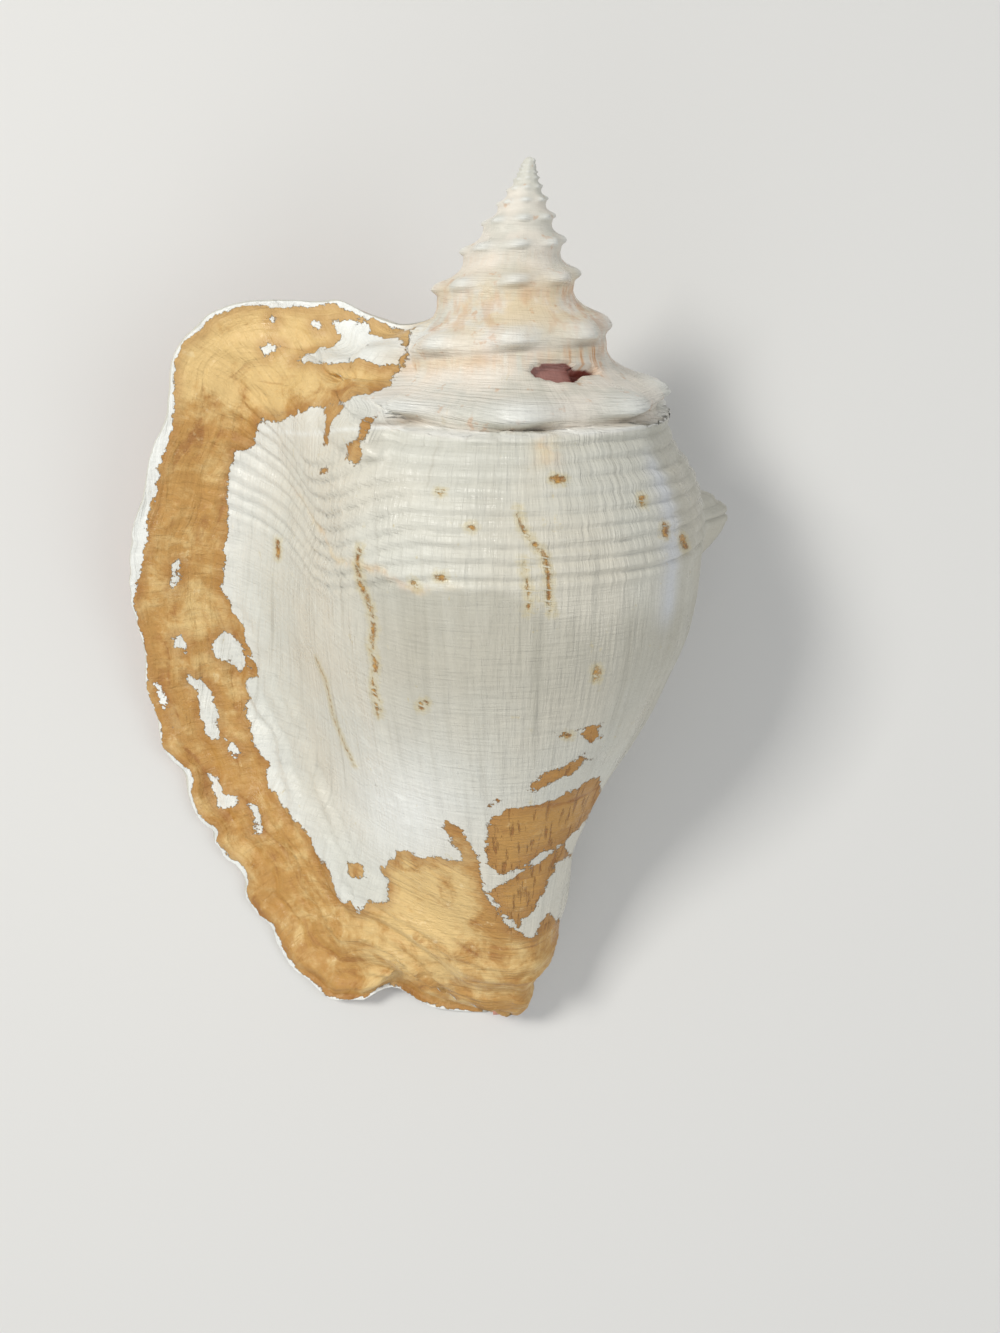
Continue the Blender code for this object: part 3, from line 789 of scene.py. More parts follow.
    def growth_lines(self) -> Array:
        """Growth lines down the coil, with a slow unevenness."""
        size = self.relief
        near = smooth((size.ridge_reach - self.margin) / size.ridge_fade) * self.lipped
        coil = self.outer * (1 - near) * smooth((200 - self.t_row) / 20)
        right = smooth((60 - self.angle) / 50)
        rise = (0.10 + 0.12 * right) * Ripple(47)(self.around / 2.1, self.t_row / 45.0)
        rise += (0.16 + 0.2 * right) * Ripple(48)(self.around / 6.5, self.t_row / 80.0)
        rise += 0.4 * Ripple(49)(self.around / 19.0, self.t_row / 23.0)
        return rise * coil

    def old_edge(self) -> Array:
        """The step down the right side where an older layer ends."""
        size = self.relief
        place = self.angle - size.old_edge_angle - 1.8 * Ripple(50)(self.t_row / 9.0)
        share = self.outer * window(self.t_row, 112, 20, 184, 4) * smooth((self.angle + 30) / 30)
        return size.old_edge_height * (smooth(place / 1.5) - 1) * share


@dataclass(frozen=True)
class Patch:
    """A patch on the shell's back as seen from above, as x and y in millimetres."""

    outline: Pairs

    def depth(self, x: Array, y: Array) -> Array:
        """How far inside the outline points are; below 0 outside it."""
        closed = self.outline + self.outline[:1]
        inside = np.zeros(x.shape, bool)
        for (x0, y0), (x1, y1) in zip(closed, closed[1:]):
            if y0 != y1:
                crosses = (y0 > y) != (y1 > y)
                inside ^= crosses & (x < x0 + (y - y0) * (x1 - x0) / (y1 - y0))
        nearest = distance_to_line(closed, x, y)
        return np.where(inside, nearest, -nearest)


# The amber skin on the lip and front, the bare places in it, and the scraps right of it.
SKIN = Patch((
    (-3, 64), (-6, 59), (-8, 56), (-16, 54), (-23, 55), (-37, 55), (-43, 57), (-47, 51),
    (-52, 50), (-55, 40), (-57, 22), (-59, 14), (-56, 7), (-53, 1), (-52, -3), (-49, -12),
    (-54, -13), (-53, -19), (-55, -22), (-52, -32), (-48, -38), (-48, -44), (-41, -53),
    (-36, -57), (-31, -65), (-28, -70), (-26, -77), (-22, -77), (-20, -81), (-16, -76),
    (-11, -75), (-10, -71), (-12, -66), (-7, -60), (-4, -59), (0, -61), (3, -59), (6, -60),
    (12, -60), (6, -51), (7, -49), (11, -51), (15, -59), (17, -69), (19, -73), (25, -82),
    (30, -84), (34, -77), (45, -87), (60, -130), (-120, -130), (-120, 130), (-30, 130),
    (-2, 82), (0, 74),
))
SCRAPS = tuple(
    Patch(outline) for outline in (
        ((-16, 80), (-14, 79), (-13, 78), (-15, 78)),
        ((-11, 78), (-8, 77), (-4, 74), (-5, 73), (-9, 76)),
        ((-23, -66), (-20, -65), (-17, -66), (-17, -69), (-20, -70), (-22, -68)),
        (
            (18, -49), (23, -45), (32, -44), (37, -42), (47, -37), (48, -43), (45, -50),
            (39, -55), (37, -56), (33, -58), (25, -63), (20, -64), (18, -59), (17, -56),
        ),
        (
            (18, -70), (25, -64), (34, -59), (38, -57), (40, -61), (36, -62), (34, -68),
            (30, -75), (26, -80), (21, -75),
        ),
        (
            (27, -40), (29, -38), (32, -35), (39, -33), (42, -31), (43, -32), (39, -36),
            (33, -38), (30, -40),
        ),
        ((40, -25), (43, -24), (46, -23), (45, -25), (46, -27), (43, -28), (42, -27)),
        ((34, -26), (35, -25), (37, -25), (36, -26)),
        ((17, -45), (20, -42), (21, -43), (18, -45)),
        (
            (-22, 54), (-19, 55), (-16, 53), (-17, 50), (-19, 49), (-21, 45), (-22, 44),
            (-21, 49),
        ),
        ((-10, 49), (-8, 49), (-11, 42), (-12, 38), (-15, 38), (-15, 42), (-12, 44)),
        ((-23, 39), (-20, 39), (-20, 37), (-22, 37)),
    )
)
BARE = tuple(
    Patch(outline) for outline in (
        (
            (-32, 70), (-22, 73), (-20, 75), (-22, 79), (-18, 80), (-14, 79), (-11, 74),
            (-4, 72), (-2, 68), (-4, 65), (-8, 64), (-13, 66), (-17, 66), (-24, 67),
        ),
        ((-21, 84), (-16, 94), (-2, 78), (0, 74), (-5, 76), (-10, 79), (-17, 81)),
        ((-39, 81), (-38, 82), (-37, 81), (-38, 80)),
        ((-27, 79), (-25, 80), (-25, 78), (-26, 78)),
        ((-41, 74), (-39, 75), (-36, 74), (-38, 73), (-40, 72)),
        ((-72, 20), (-70, 20), (-71, 15), (-73, 13)),
        ((-74, -1), (-72, 0), (-70, -2), (-71, -5), (-73, -5)),
        (
            (-62, -1), (-59, 1), (-57, 0), (-54, -4), (-53, -9), (-56, -10), (-57, -8),
            (-60, -8), (-63, -5),
        ),
        (
            (-71, -12), (-67, -13), (-64, -18), (-63, -24), (-63, -31), (-66, -31), (-68, -24),
            (-68, -17), (-71, -14),
        ),
        ((-61, -31), (-59, -32), (-56, -35), (-58, -36), (-60, -34)),
        (
            (-67, -41), (-64, -43), (-62, -48), (-58, -48), (-58, -51), (-63, -52), (-66, -46),
        ),
        ((-54, -50), (-52, -51), (-50, -54), (-50, -59), (-54, -60), (-52, -55)),
        ((-81, -13), (-78, -17), (-77, -23), (-76, -28), (-78, -23), (-80, -18)),
    )
)


@dataclass(frozen=True)
class Stain:
    """A rusty crack or spot on the back, as x and y in millimetres and a half width."""

    line: Pairs
    half_width: float

    def depth(self, x: Array, y: Array) -> Array:
        """How far inside the stain points are; below 0 outside it."""
        return self.half_width - distance_to_line(self.line, x, y)


STAINS = (
    Stain(((-12, 19), (-13, 15), (-12, 10), (-10, 6), (-9, 0)), 0.5),
    Stain(((-9, 0), (-10, -4), (-9, -9), (-10, -14), (-9, -21)), 0.6),
    Stain(((25, 26), (26, 22), (28, 19), (31, 16), (32, 12), (32, 7), (33, 3)), 0.45),
    Stain(((26, 15), (27, 9), (28, 6), (27, 3)), 0.35),
    Stain(((-28, -7), (-25, -13), (-24, -22), (-21, -30), (-18, -36)), 0.12),
    Stain(((33, 33), (35, 33)), 0.8),
    Stain(((54, 30), (54, 29)), 0.8),
    Stain(((60, 24), (60, 22)), 0.8),
    Stain(((65, 22), (66, 20)), 0.9),
    Stain(((-40, 25), (-40, 21)), 0.7),
    Stain(((44, -10), (44, -12)), 0.8),
    Stain(((2, -19), (3, -18)), 0.8),
    Stain(((37, -26), (38, -26)), 0.5),
    Stain(((14, 22), (15, 22)), 0.6),
    Stain(((7, 11), (8, 11)), 0.7),
    Stain(((7, 30), (8, 30)), 0.5),
    Stain(((1, 10), (2, 9)), 0.5),
)


class Markings:
    """Where each finish lies on the shell, as values on the grid's points."""

    # Added to a depth, this takes a place out of every patch and stain.
    HIDDEN = -19
    # Width of the bare strip along the rim against the height of its section.
    BARE_RIM = (
        (0, 0.8), (12, 1.2), (20, 0.9), (30, 1.0), (38, 2.6), (43, 1.2), (47, 3.2), (52, 1.0),
        (57, 3.4), (62, 1.4), (67, 2.0), (70, 3.6), (76, 1.2), (90, 0.8), (102, 0.8),
        (110, 3.2), (122, 4.2), (132, 3.6), (142, 3.2), (150, 1.8), (160, 1.2), (172, 1.8),
        (185, 1.6), (203, 1.0),
    )

    def __init__(self, surface: Surface) -> None:
        """Work out every marking.

        Args:
            surface: The finished grid.
        """
        self.surface = surface
        self.x = surface.points[..., 0] / MM
        self.y = surface.points[..., 1] / MM
        facing = surface.normals()[..., 2]
        on_outer = surface.outer > 0
        phase = surface.form.phase(surface.angle, surface.levels)
        spire = smooth((0.06 - phase) / 0.06) * surface.outer
        spire = spire * (1 - surface.on_lip * smooth(surface.to_root / 12))
        place = phase % 1.0
        depth = surface.form.axis.length - surface.levels
        ramp = bell((place - 0.08) / 0.22) + bell((place - 1.08) / 0.12)
        ramp = ramp * smooth((-0.25 - phase) / 0.3)
        whorls = 60 * (phase + (surface.angle - 90) / 360)
        turn = np.radians(surface.angle)
        self.vectors = {
            "growth": self.growth_places(),
            "coil": np.stack([np.cos(turn), np.sin(turn), whorls / DEGREES], axis=2) * DEGREES,
        }
        self.values = {
            "skin": self.skin() + np.where(on_outer & (facing > -0.1), 0, self.HIDDEN),
            "stain": self.stain() + np.where(on_outer & (facing > 0), 0, self.HIDDEN),
            "spire": spire,
            "ramp": ramp * spire * smooth((depth - 18) / 12),
            "lining": self.lining(),
            "hole": surface.hole,
            # Painted shade in the cords' grooves and a faint painted highlight on their crests.
            "groove": np.clip(-0.25 - 0.75 * surface.cords, -0.2, 1),
            "margin": surface.margin,
            "beside": surface.beside,
            # Greyer band of the shell's own colour, with painted shade over the middle of the
            # body.
            "dull_and_shade": self.dull_and_shade(),
            "blue": self.blue(),
            # Chalky white by the rim, and a painted highlight low on the front.
            "chalk_and_highlight": self.chalk_and_highlight(),
            "pale": self.pale(),
            "straw": self.straw(phase, spire),
            # Painted shadow under the shoulder knobs, just above each seam.
            "shoulder_shadow": self.shoulder_shadow(phase, spire),
            "girth": np.clip(surface.girth / 40, 0.05, 1),
            # Painted shade towards the slot's deep narrow end.
            "deep": smooth((2.5 - surface.along_hole) / 7),
            "right": smooth((self.x - 30) / 14),
            "knob": surface.form.knobs(surface.angle, place) * spire,
            "seam_edge": bell((phase - 0.012) / 0.022) * surface.outer * surface.lipped,
        }

    def growth_places(self) -> Array:
        """Coordinates that wind once round the shell across its growth lines.

        Returns:
            Places on a cylinder, in units of 100 mm: round it, then along the axis.
        """
        surface = self.surface
        radius = surface.relief.mean_radius
        root = surface.around[:, [surface.column(Part.COIL, 0)]]
        on_lip = root + surface.to_root
        beyond = on_lip[:, :1] + surface.to_rim
        across = surface.around
        for part, place in ((Part.LIP, on_lip), (Part.WAY_OUT, beyond)):
            there = surface.is_on(part)
            across = np.where(there, across + (place - across) * surface.lipped, across)
        turn = across / radius
        places = np.stack([radius * np.cos(turn), radius * np.sin(turn), surface.t_row], axis=2)
        return places * 0.01

    def pale(self) -> Array:
        """How pale the amber skin is, from 0, brown, to 1, straw."""
        x, y = self.x, self.y
        upper = 0.5 * smooth((y - 50) / 26)
        front = 0.4 * bell((x + 2) / 20, (y + 76) / 20)
        right = 0.5 * smooth((x - 12) / 8) * smooth((y + 86) / 8)
        return np.clip(0.4 + upper + front - right, 0, 1)

    def chalk_and_highlight(self) -> Array:
        """Brighter chalky shell by the rim, and a painted highlight on the front, 0 to 1."""
        surface = self.surface
        margin = surface.margin
        by_rim = 0.55 * smooth((44 - margin) / 22) + 0.4 * smooth((12 - margin) / 8)
        # Painted highlight low on the front of the body.
        front = bell((self.x + 4) / 17, (self.y + 48) / 17)
        return np.maximum(by_rim * surface.lipped, 0.85 * front) * surface.outer

    def shoulder_shadow(self, phase: Array, spire: Array) -> Array:
        """Painted shadow in the recess under each shoulder, just above the seam, from 0 to 1.

        Args:
            phase: Whorls counted down from the last seam.
            spire: Where the spire is.
        """
        under = bell((phase % 1.0 - 0.955) / 0.04)
        knob = self.surface.form.knobs(self.surface.angle, phase % 1.0 - 0.14)
        return np.clip(under * (0.3 + 0.7 * knob), 0, 1) * spire * smooth((phase + 2.3) / 0.6)

    def straw(self, phase: Array, spire: Array) -> Array:
        """The straw and orange tint of the lower spire's whorls, from 0 to 1.

        Args:
            phase: Whorls counted down from the last seam.
            spire: Where the spire is.
        """
        band = bell((phase + 1.75) / 0.6) + 0.5 * bell((phase + 0.93) / 0.1)
        smear = 0.9 * bell((self.x - 31.5) / 2.6, (self.y - 40) / 4.5)
        dirt = bell((self.below_cords() - 0.6) / 0.9) * window(self.x, -40, 16, 16, 14)
        return np.clip(band, 0, 1) * spire + (smear + 0.8 * dirt) * self.surface.outer

    def skin(self) -> Array:
        """How far inside the amber skin each point is, in millimetres; below 0 outside."""
        skin = SKIN.depth(self.x, self.y)
        for patch in BARE:
            skin = np.minimum(skin, -patch.depth(self.x, self.y))
        for patch in SCRAPS:
            skin = np.maximum(skin, patch.depth(self.x, self.y))
        surface = self.surface
        bare = Curve(self.BARE_RIM)(surface.t_row) + 0.7 * Ripple(61)(surface.t_row / 5.0)
        inside = np.where(surface.on_lip > 0.5, surface.from_rim - bare, 9.0)
        return np.clip(np.minimum(skin, inside), -9, 9)

    def stain(self) -> Array:
        """How far inside the rusty cracks and spots each point is."""
        deepest = np.full(self.x.shape, -9.0)
        for mark in STAINS:
            deepest = np.maximum(deepest, mark.depth(self.x, self.y))
        return deepest

    def lining(self) -> Array:
        """Where the smooth pink lining shows, from 0 to 1."""
        surface = self.surface
        inside = 1.0 - surface.outer
        return inside * smooth((200 - surface.t_row) / 6) * smooth((surface.to_rim - 1.6) / 4)

    def dull_and_shade(self) -> Array:
        """Greyer band below the cords and on the right, plus painted shade mid-body, 0 to 1."""
        surface = self.surface
        t = surface.t_row
        below = self.below_cords()
        fading = 2.2 + 14 * smooth((self.x - 14) / 30)
        band = smooth(below / fading) * smooth((t - 78) / 60)
        band = band * smooth((self.x + 24) / 26) * smooth((surface.margin - 40) / 30)
        right = smooth((surface.relief.old_edge_angle + 3 - surface.angle) / 6)
        right = right * window(t, 40, 60, 182, 4)
        # Painted shade over the middle of the body, growing towards the right.
        painted_shade_middle = 0.36 * smooth((self.x + 6) / 30) * window(t, 96, 30, 198, 8)
        return np.maximum(np.maximum(band, 0.7 * right), painted_shade_middle) * surface.outer

    def below_cords(self) -> Array:
        """How far each point lies below the uneven edge where the cords end."""
        around = np.radians(self.surface.angle)
        wander = 2.0 * Ripple(53)(around * 5.0) + 0.6 * Ripple(54)(around * 31.0)
        return 146.8 + wander - self.surface.t_row

    def blue(self) -> Array:
        """The bluish white band beside the older layer's edge, from 0 to 1."""
        surface = self.surface
        across = (surface.angle - surface.relief.old_edge_angle - 4.0) / 4.5
        return bell(across) * window(surface.t_row, 128, 10, 176, 8) * surface.outer


class ConchShell:
    """The shell: one fine closed mesh with its markings."""

    NAME = "conch_surface"

    def __init__(self, form: ShellForm, relief: ReliefSizes) -> None:
        """Keep the sizes that the shell is built from."""
        self.surface = Surface(form, relief)
        self.markings = Markings(self.surface)

    def build(self, finish: "ShellFinish") -> bpy.types.Object:
        """Build the mesh with its markings and dress it.

        Args:
            finish: What the shell is dressed in.

        Returns:
            The shell's object.
        """
        mesh = bpy.data.meshes.new(self.NAME)
        row, column = self.lay_grid(mesh)
        for kind, slot, markings in (
            ("FLOAT", "value", self.markings.values),
            ("FLOAT_VECTOR", "vector", self.markings.vectors),
        ):
            for name, values in markings.items():
                layer = mesh.attributes.new(name, kind, "POINT")
                layer.data.foreach_set(slot, values[row, column].astype(np.float32).ravel())
        mesh.shade_smooth()
        mesh.materials.append(finish.material())
        shell = bpy.data.objects.new(self.NAME, mesh)
        bpy.context.scene.collection.objects.link(shell)
        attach(shell, "root")
        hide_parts("conch_shell")
        LOG.info("%s: %d triangles", self.NAME, 2 * self.surface.rows * self.surface.count)
        return shell

    def lay_grid(self, mesh: bpy.types.Mesh) -> tuple[Array, Array]:
        """Lay a sphere's parallels on the grid, and its poles on the shell's two ends.

        Args:
            mesh: The empty mesh that takes the laid sphere.

        Returns:
            The row and the column of the grid that each vertex reads its markings from.
        """
        surface = self.surface
        axis = surface.form.axis
        rows, columns = surface.rows, surface.count
        bm = bmesh.new()
        bmesh.ops.create_uvsphere(bm, u_segments=columns, v_segments=rows + 1, radius=1)
        co = np.array([v.co for v in bm.verts])
        row = np.round(np.arccos(np.clip(co[:, 2], -1, 1)) / np.pi * (rows + 1)).astype(int) - 1
        column = np.round(np.arctan2(co[:, 1], co[:, 0]) / (2 * np.pi) * columns).astype(int)
        column %= columns
        ends = {
            -1: axis.to_world(np.array([0.0, 0.0, axis.length])),
            rows: np.maximum(axis.to_world(np.array(surface.form.tip)), 0.0),
        }
        for i, vert in enumerate(bm.verts):
            place = ends.get(int(row[i]))
            vert.co = surface.points[row[i], column[i]] if place is None else place
        bmesh.ops.recalc_face_normals(bm, faces=bm.faces)
        bm.to_mesh(mesh)
        bm.free()
        return np.clip(row, 0, rows - 1), column


def paint(red: float, green: float, blue: float) -> Colour:
    """A colour given as it looks on screen, from 0 to 255, as the shaders take it."""
    scaled = [c / 255 for c in (red, green, blue)]
    linear = [c / 12.92 if c <= 0.04045 else ((c + 0.055) / 1.055) ** 2.4 for c in scaled]
    return linear[0], linear[1], linear[2], 1.0


class Graph:
    """A short way to write a material's nodes."""

    def __init__(self, name: str) -> None:
        """Start a new material.

        Args:
            name: The material's name.
        """
        self.material = bpy.data.materials.new(name)
        self.material.use_nodes = True
        self.tree = self.material.node_tree
        self.surface = self.tree.nodes["Principled BSDF"]

    def add(self, kind: str, **settings: object) -> bpy.types.Node:
        """A new node with its settings."""
        node = self.tree.nodes.new(kind)
        for key, value in settings.items():
            setattr(node, key, value)
        return node

    def put(self, socket: Socket, value: object) -> None:
        """Link a socket to another, or set its value."""
        if isinstance(value, bpy.types.NodeSocket):
            self.tree.links.new(value, socket)
        else:
            socket.default_value = value

    def attribute(self, name: str, output: str = "Fac") -> Socket:
        """The value or the vector of one of the mesh's markings."""
        return self.add("ShaderNodeAttribute", attribute_name=name).outputs[output]

    def math(self, operation: str, *values: object, clamp: bool = False) -> Socket:
        """The result of one operation on its values."""
        node = self.add("ShaderNodeMath", operation=operation, use_clamp=clamp)
        for socket, value in zip(node.inputs, values):
            self.put(socket, value)
        return node.outputs[0]

    def times(self, first: object, second: object, clamp: bool = False) -> Socket:
        """One value times another."""
        return self.math("MULTIPLY", first, second, clamp=clamp)

    def plus(self, first: object, second: object) -> Socket:
        """One value plus another."""
        return self.math("ADD", first, second)

    def minus(self, first: object, second: object) -> Socket:
        """One value less another."""
        return self.math("SUBTRACT", first, second)

    def weighted(self, *terms: tuple[object, float]) -> Socket:
        """The sum of values, each times its weight."""
        total = self.times(*terms[0])
        for value, weight in terms[1:]:
            total = self.plus(total, self.times(value, weight))
        return total

    def ranged(
        self, value: object, end: str, low: float, high: float, **settings: object
    ) -> Socket:
        """A value brought from one range, "From", to another, "To"; one of them is 0 to 1."""
        node = self.add("ShaderNodeMapRange", **settings)
        self.put(node.inputs["Value"], value)
        node.inputs[f"{end} Min"].default_value = low
        node.inputs[f"{end} Max"].default_value = high
        return node.outputs["Result"]

    def ease(self, value: object, low: float, high: float) -> Socket:
        """Ease from 0 to 1 as a value goes from low to high."""
        return self.ranged(value, "From", low, high, interpolation_type="SMOOTHSTEP")

    def spread(self, value: object, low: float, high: float) -> Socket:
        """A value from 0 to 1 as one from low to high."""
        return self.ranged(value, "To", low, high)

    def scaled(self, source: object, scale: Stretch) -> Socket:
        """Coordinates stretched by a scale."""
        node = self.add("ShaderNodeMapping")
        self.put(node.inputs["Vector"], source)
        node.inputs["Scale"].default_value = scale
        return node.outputs["Vector"]

    def noise(
        self, source: object, scale: float, detail: float = 2.0, rough: float = 0.5,
        bend: float = 0.0,
    ) -> Socket:
        """Noise from 0 to 1 on the given coordinates."""
        node = self.add("ShaderNodeTexNoise")
        self.put(node.inputs["Vector"], source)
        node.inputs["Scale"].default_value = scale
        node.inputs["Detail"].default_value = detail
        node.inputs["Roughness"].default_value = rough
        node.inputs["Distortion"].default_value = bend
        return node.outputs["Fac"]

    def join(self, first: object, second: object) -> Socket:
        """Two values as a pair of coordinates."""
        node = self.add("ShaderNodeCombineXYZ")
        self.put(node.inputs["X"], first)
        self.put(node.inputs["Y"], second)
        return node.outputs["Vector"]

    def mixed(
        self, kind: str, places: tuple[int, ...], values: tuple[object, ...], output: int
    ) -> Socket:
        """A mix of two values or colours, whose sockets stand at places by its kind."""
        node = self.add("ShaderNodeMix", data_type=kind)
        for place, value in zip(places, values):
            self.put(node.inputs[place], value)
        return node.outputs[output]

    def add_mix(self, share: object, first: object, second: object) -> Socket:
        """A value between two others."""
        return self.mixed("FLOAT", (0, 2, 3), (share, first, second), 0)

    def tint(self, colour: object, share: object, strength: float, other: object) -> Socket:
        """A colour drawn to another by a share at a strength."""
        return self.mix(self.times(share, strength), colour, other)

    def grain(
        self, source: object, stretch: Stretch, detail: float = 3.0, rough: float = 0.6,
        bend: float = 0.0,
    ) -> Socket:
        """Noise from 0 to 1 on coordinates that are first stretched along each axis."""
        return self.noise(self.scaled(source, stretch), 1.0, detail, rough, bend)

    def mix(self, share: object, first: object, second: object) -> Socket:
        """A colour between two others."""
        return self.mixed("RGBA", (0, 6, 7), (share, first, second), 2)

    def shade(self, colour: object, value: object) -> Socket:
        """A colour made darker or lighter by a value round 1."""
        node = self.add("ShaderNodeVectorMath", operation="SCALE")
        self.put(node.inputs[0], colour)
        self.put(node.inputs["Scale"], value)
        return node.outputs[0]


@dataclass(frozen=True)
class ShellFinish:
    """Chalky white shell with amber skin, a pink lining and rusty stains."""

    white: Colour = paint(207, 206, 195)
    white_warm: Colour = paint(210, 205, 190)
    # Chalky white, also used for the painted highlight on the front.
    white_grey: Colour = paint(190, 187, 174)
    chalk_and_highlight: Colour = paint(234, 235, 230)
    # Grey of the dull band, also used as painted shade on the body.
    dull_and_shade: Colour = paint(170, 166, 151)
    # Grey brown of the painted shadow under the shoulder knobs.
    shadow_brown: Colour = paint(160, 148, 132)
    blue: Colour = paint(206, 210, 218)
    cream: Colour = paint(233, 224, 211)
    peach: Colour = paint(224, 192, 160)
    rust: Colour = paint(198, 142, 88)
    straw: Colour = paint(196, 178, 122)
    straw_pale: Colour = paint(222, 200, 158)
    amber: Colour = paint(192, 145, 77)
    amber_light: Colour = paint(226, 194, 132)
    amber_dark: Colour = paint(160, 108, 52)
    # Pale straw of the painted glints on the skin.
    amber_glint: Colour = paint(236, 216, 170)
    ochre: Colour = paint(194, 148, 78)
    ochre_dark: Colour = paint(148, 104, 56)
    lining: Colour = paint(236, 190, 166)
    lining_deep: Colour = paint(214, 132, 112)
    # The slot's rose darkened as painted shade for its deep end.
    hole_shade: Colour = paint(128, 66, 56)
    hole_light: Colour = paint(152, 108, 100)

    # How far the skin's edge is torn, in millimetres, and how sharp it is.
    skin_tear: float = 6.5
    skin_edge: float = 0.12
    roughness: tuple[float, float] = (0.52, 0.22)
    refraction: float = 1.5
    bump_strength: float = 0.9
    bump_depth: float = 0.0007

    def material(self) -> bpy.types.Material:
        """The shell's material."""
        g = Graph("conch_shell_finish")
        place = g.add("ShaderNodeTexCoord").outputs["Object"]
        growth = g.attribute("growth", "Vector")
        lining = g.attribute("lining")
        shell, weave = self.white_shell(g, place, growth)
        amber, rumple = self.amber_skin(g, place, growth)
        ragged = g.times(g.minus(g.noise(place, 260, 6, 0.72), 0.5), self.skin_tear)
        skin = g.plus(g.attribute("skin"), ragged)
        skin = g.ease(skin, -self.skin_edge, self.skin_edge)
        colour = g.mix(skin, shell, amber)
        colour = g.shade(colour, g.spread(g.noise(place, 140, 4, 0.6), 0.93, 1.06))
        colour = g.mix(lining, colour, self.pink_lining(g, place))
        colour = g.mix(g.ease(g.attribute("hole"), 0.35, 0.6), colour, self.rosy_hole(g, place))
        g.put(g.surface.inputs["Base Color"], colour)

        gloss = g.ease(g.noise(g.scaled(place, (1, 0.45, 0.45)), 120, 4, 0.65), 0.42, 0.66)
        rough = g.plus(g.spread(gloss, *self.roughness), g.times(skin, 0.05))
        g.put(g.surface.inputs["Roughness"], g.minus(rough, g.times(lining, 0.2)))
        g.surface.inputs["IOR"].default_value = self.refraction

        chalk = g.minus(1.0, g.times(lining, 0.85))
        bump = g.add("ShaderNodeBump")
        bump.inputs["Strength"].default_value = self.bump_strength
        bump.inputs["Distance"].default_value = self.bump_depth
        g.put(bump.inputs["Height"], g.times(g.add_mix(skin, weave, rumple), chalk))
        g.put(g.surface.inputs["Normal"], bump.outputs["Normal"])
        return g.material

    def white_shell(self, g: Graph, place: Socket, growth: Socket) -> tuple[Socket, Socket]:
        """Colour and bump of the bare shell: growth lines crossed by spiral threads.

        Args:
            g: The material's graph.
            place: The object's coordinates.
            growth: The places across and along the growth lines.

        Returns:
            The colour and the bump's height.
        """
        spire = g.attribute("spire")
        body = g.spread(spire, 1.0, 0.35)
        streaks = g.grain(growth, (34, 34, 1.6), 5, 0.62)
        fine = g.grain(growth, (82, 82, 9))
        spiral = g.grain(g.attribute("coil", "Vector"), (0.03, 0.03, 0.62))
        warm = g.ease(g.noise(place, 26, 3, 0.55), 0.35, 0.65)
        colour = g.mix(warm, self.white, self.white_warm)
        colour = g.mix(g.times(g.ease(streaks, 0.52, 0.74), body), colour, self.white_grey)
        # Greyer band of the shell's own colour, and painted shade over the middle of the body.
        dull_and_shade = g.times(g.attribute("dull_and_shade"), g.spread(streaks, 0.35, 1.15), clamp=True)
        colour = g.mix(dull_and_shade, colour, self.dull_and_shade)
        # Chalky white by the rim, and the painted highlight on the front.
        chalk_and_highlight = g.times(g.attribute("chalk_and_highlight"), g.spread(streaks, 1.2, 0.8), clamp=True)
        colour = g.mix(chalk_and_highlight, colour, self.chalk_and_highlight)
        colour = g.tint(colour, g.attribute("blue"), 0.6, self.blue)
        colour = g.shade(colour, g.spread(fine, 0.92, 1.07))
        # Painted shade in the cords' grooves and a faint painted highlight on their crests.
        colour = g.shade(colour, g.minus(1.0, g.times(g.attribute("groove"), 0.2)))
        # Straw-coloured dirt lodged between the threads.
        dirt = g.ease(g.grain(growth, (30, 30, 24), 4, 0.7), 0.64, 0.74)
        colour = g.tint(colour, dirt, 0.45, self.straw)
        faint = g.times(g.ease(spiral, 0.52, 0.68), g.times(spire, 0.4))
        colour = g.mix(faint, colour, self.white_grey)
        colour = self.spire_tints(g, place, spire, colour)
        colour, stain = self.stained(g, place, colour)
        # Painted shadow under the shoulder knobs, deepest just above each seam.
        shoulder_shadow = g.times(g.attribute("shoulder_shadow"), g.spread(fine, 0.7, 1.0))
        colour = g.mix(shoulder_shadow, colour, self.shadow_brown)
        colour = g.tint(colour, g.attribute("seam_edge"), 0.7, self.chalk_and_highlight)

        threads = g.grain(growth, (8, 8, 105))
        wrinkles = g.grain(place, (55, 300, 110), bend=0.5)
        weave = g.weighted((fine, 0.9), (threads, 0.5), (streaks, 0.5), (wrinkles, 0.5))
        weave = g.plus(g.times(weave, body), g.times(g.times(spiral, spire), 1.3))
        weave = g.times(weave, g.attribute("girth"))
        return colour, g.minus(weave, g.times(stain, 0.4))

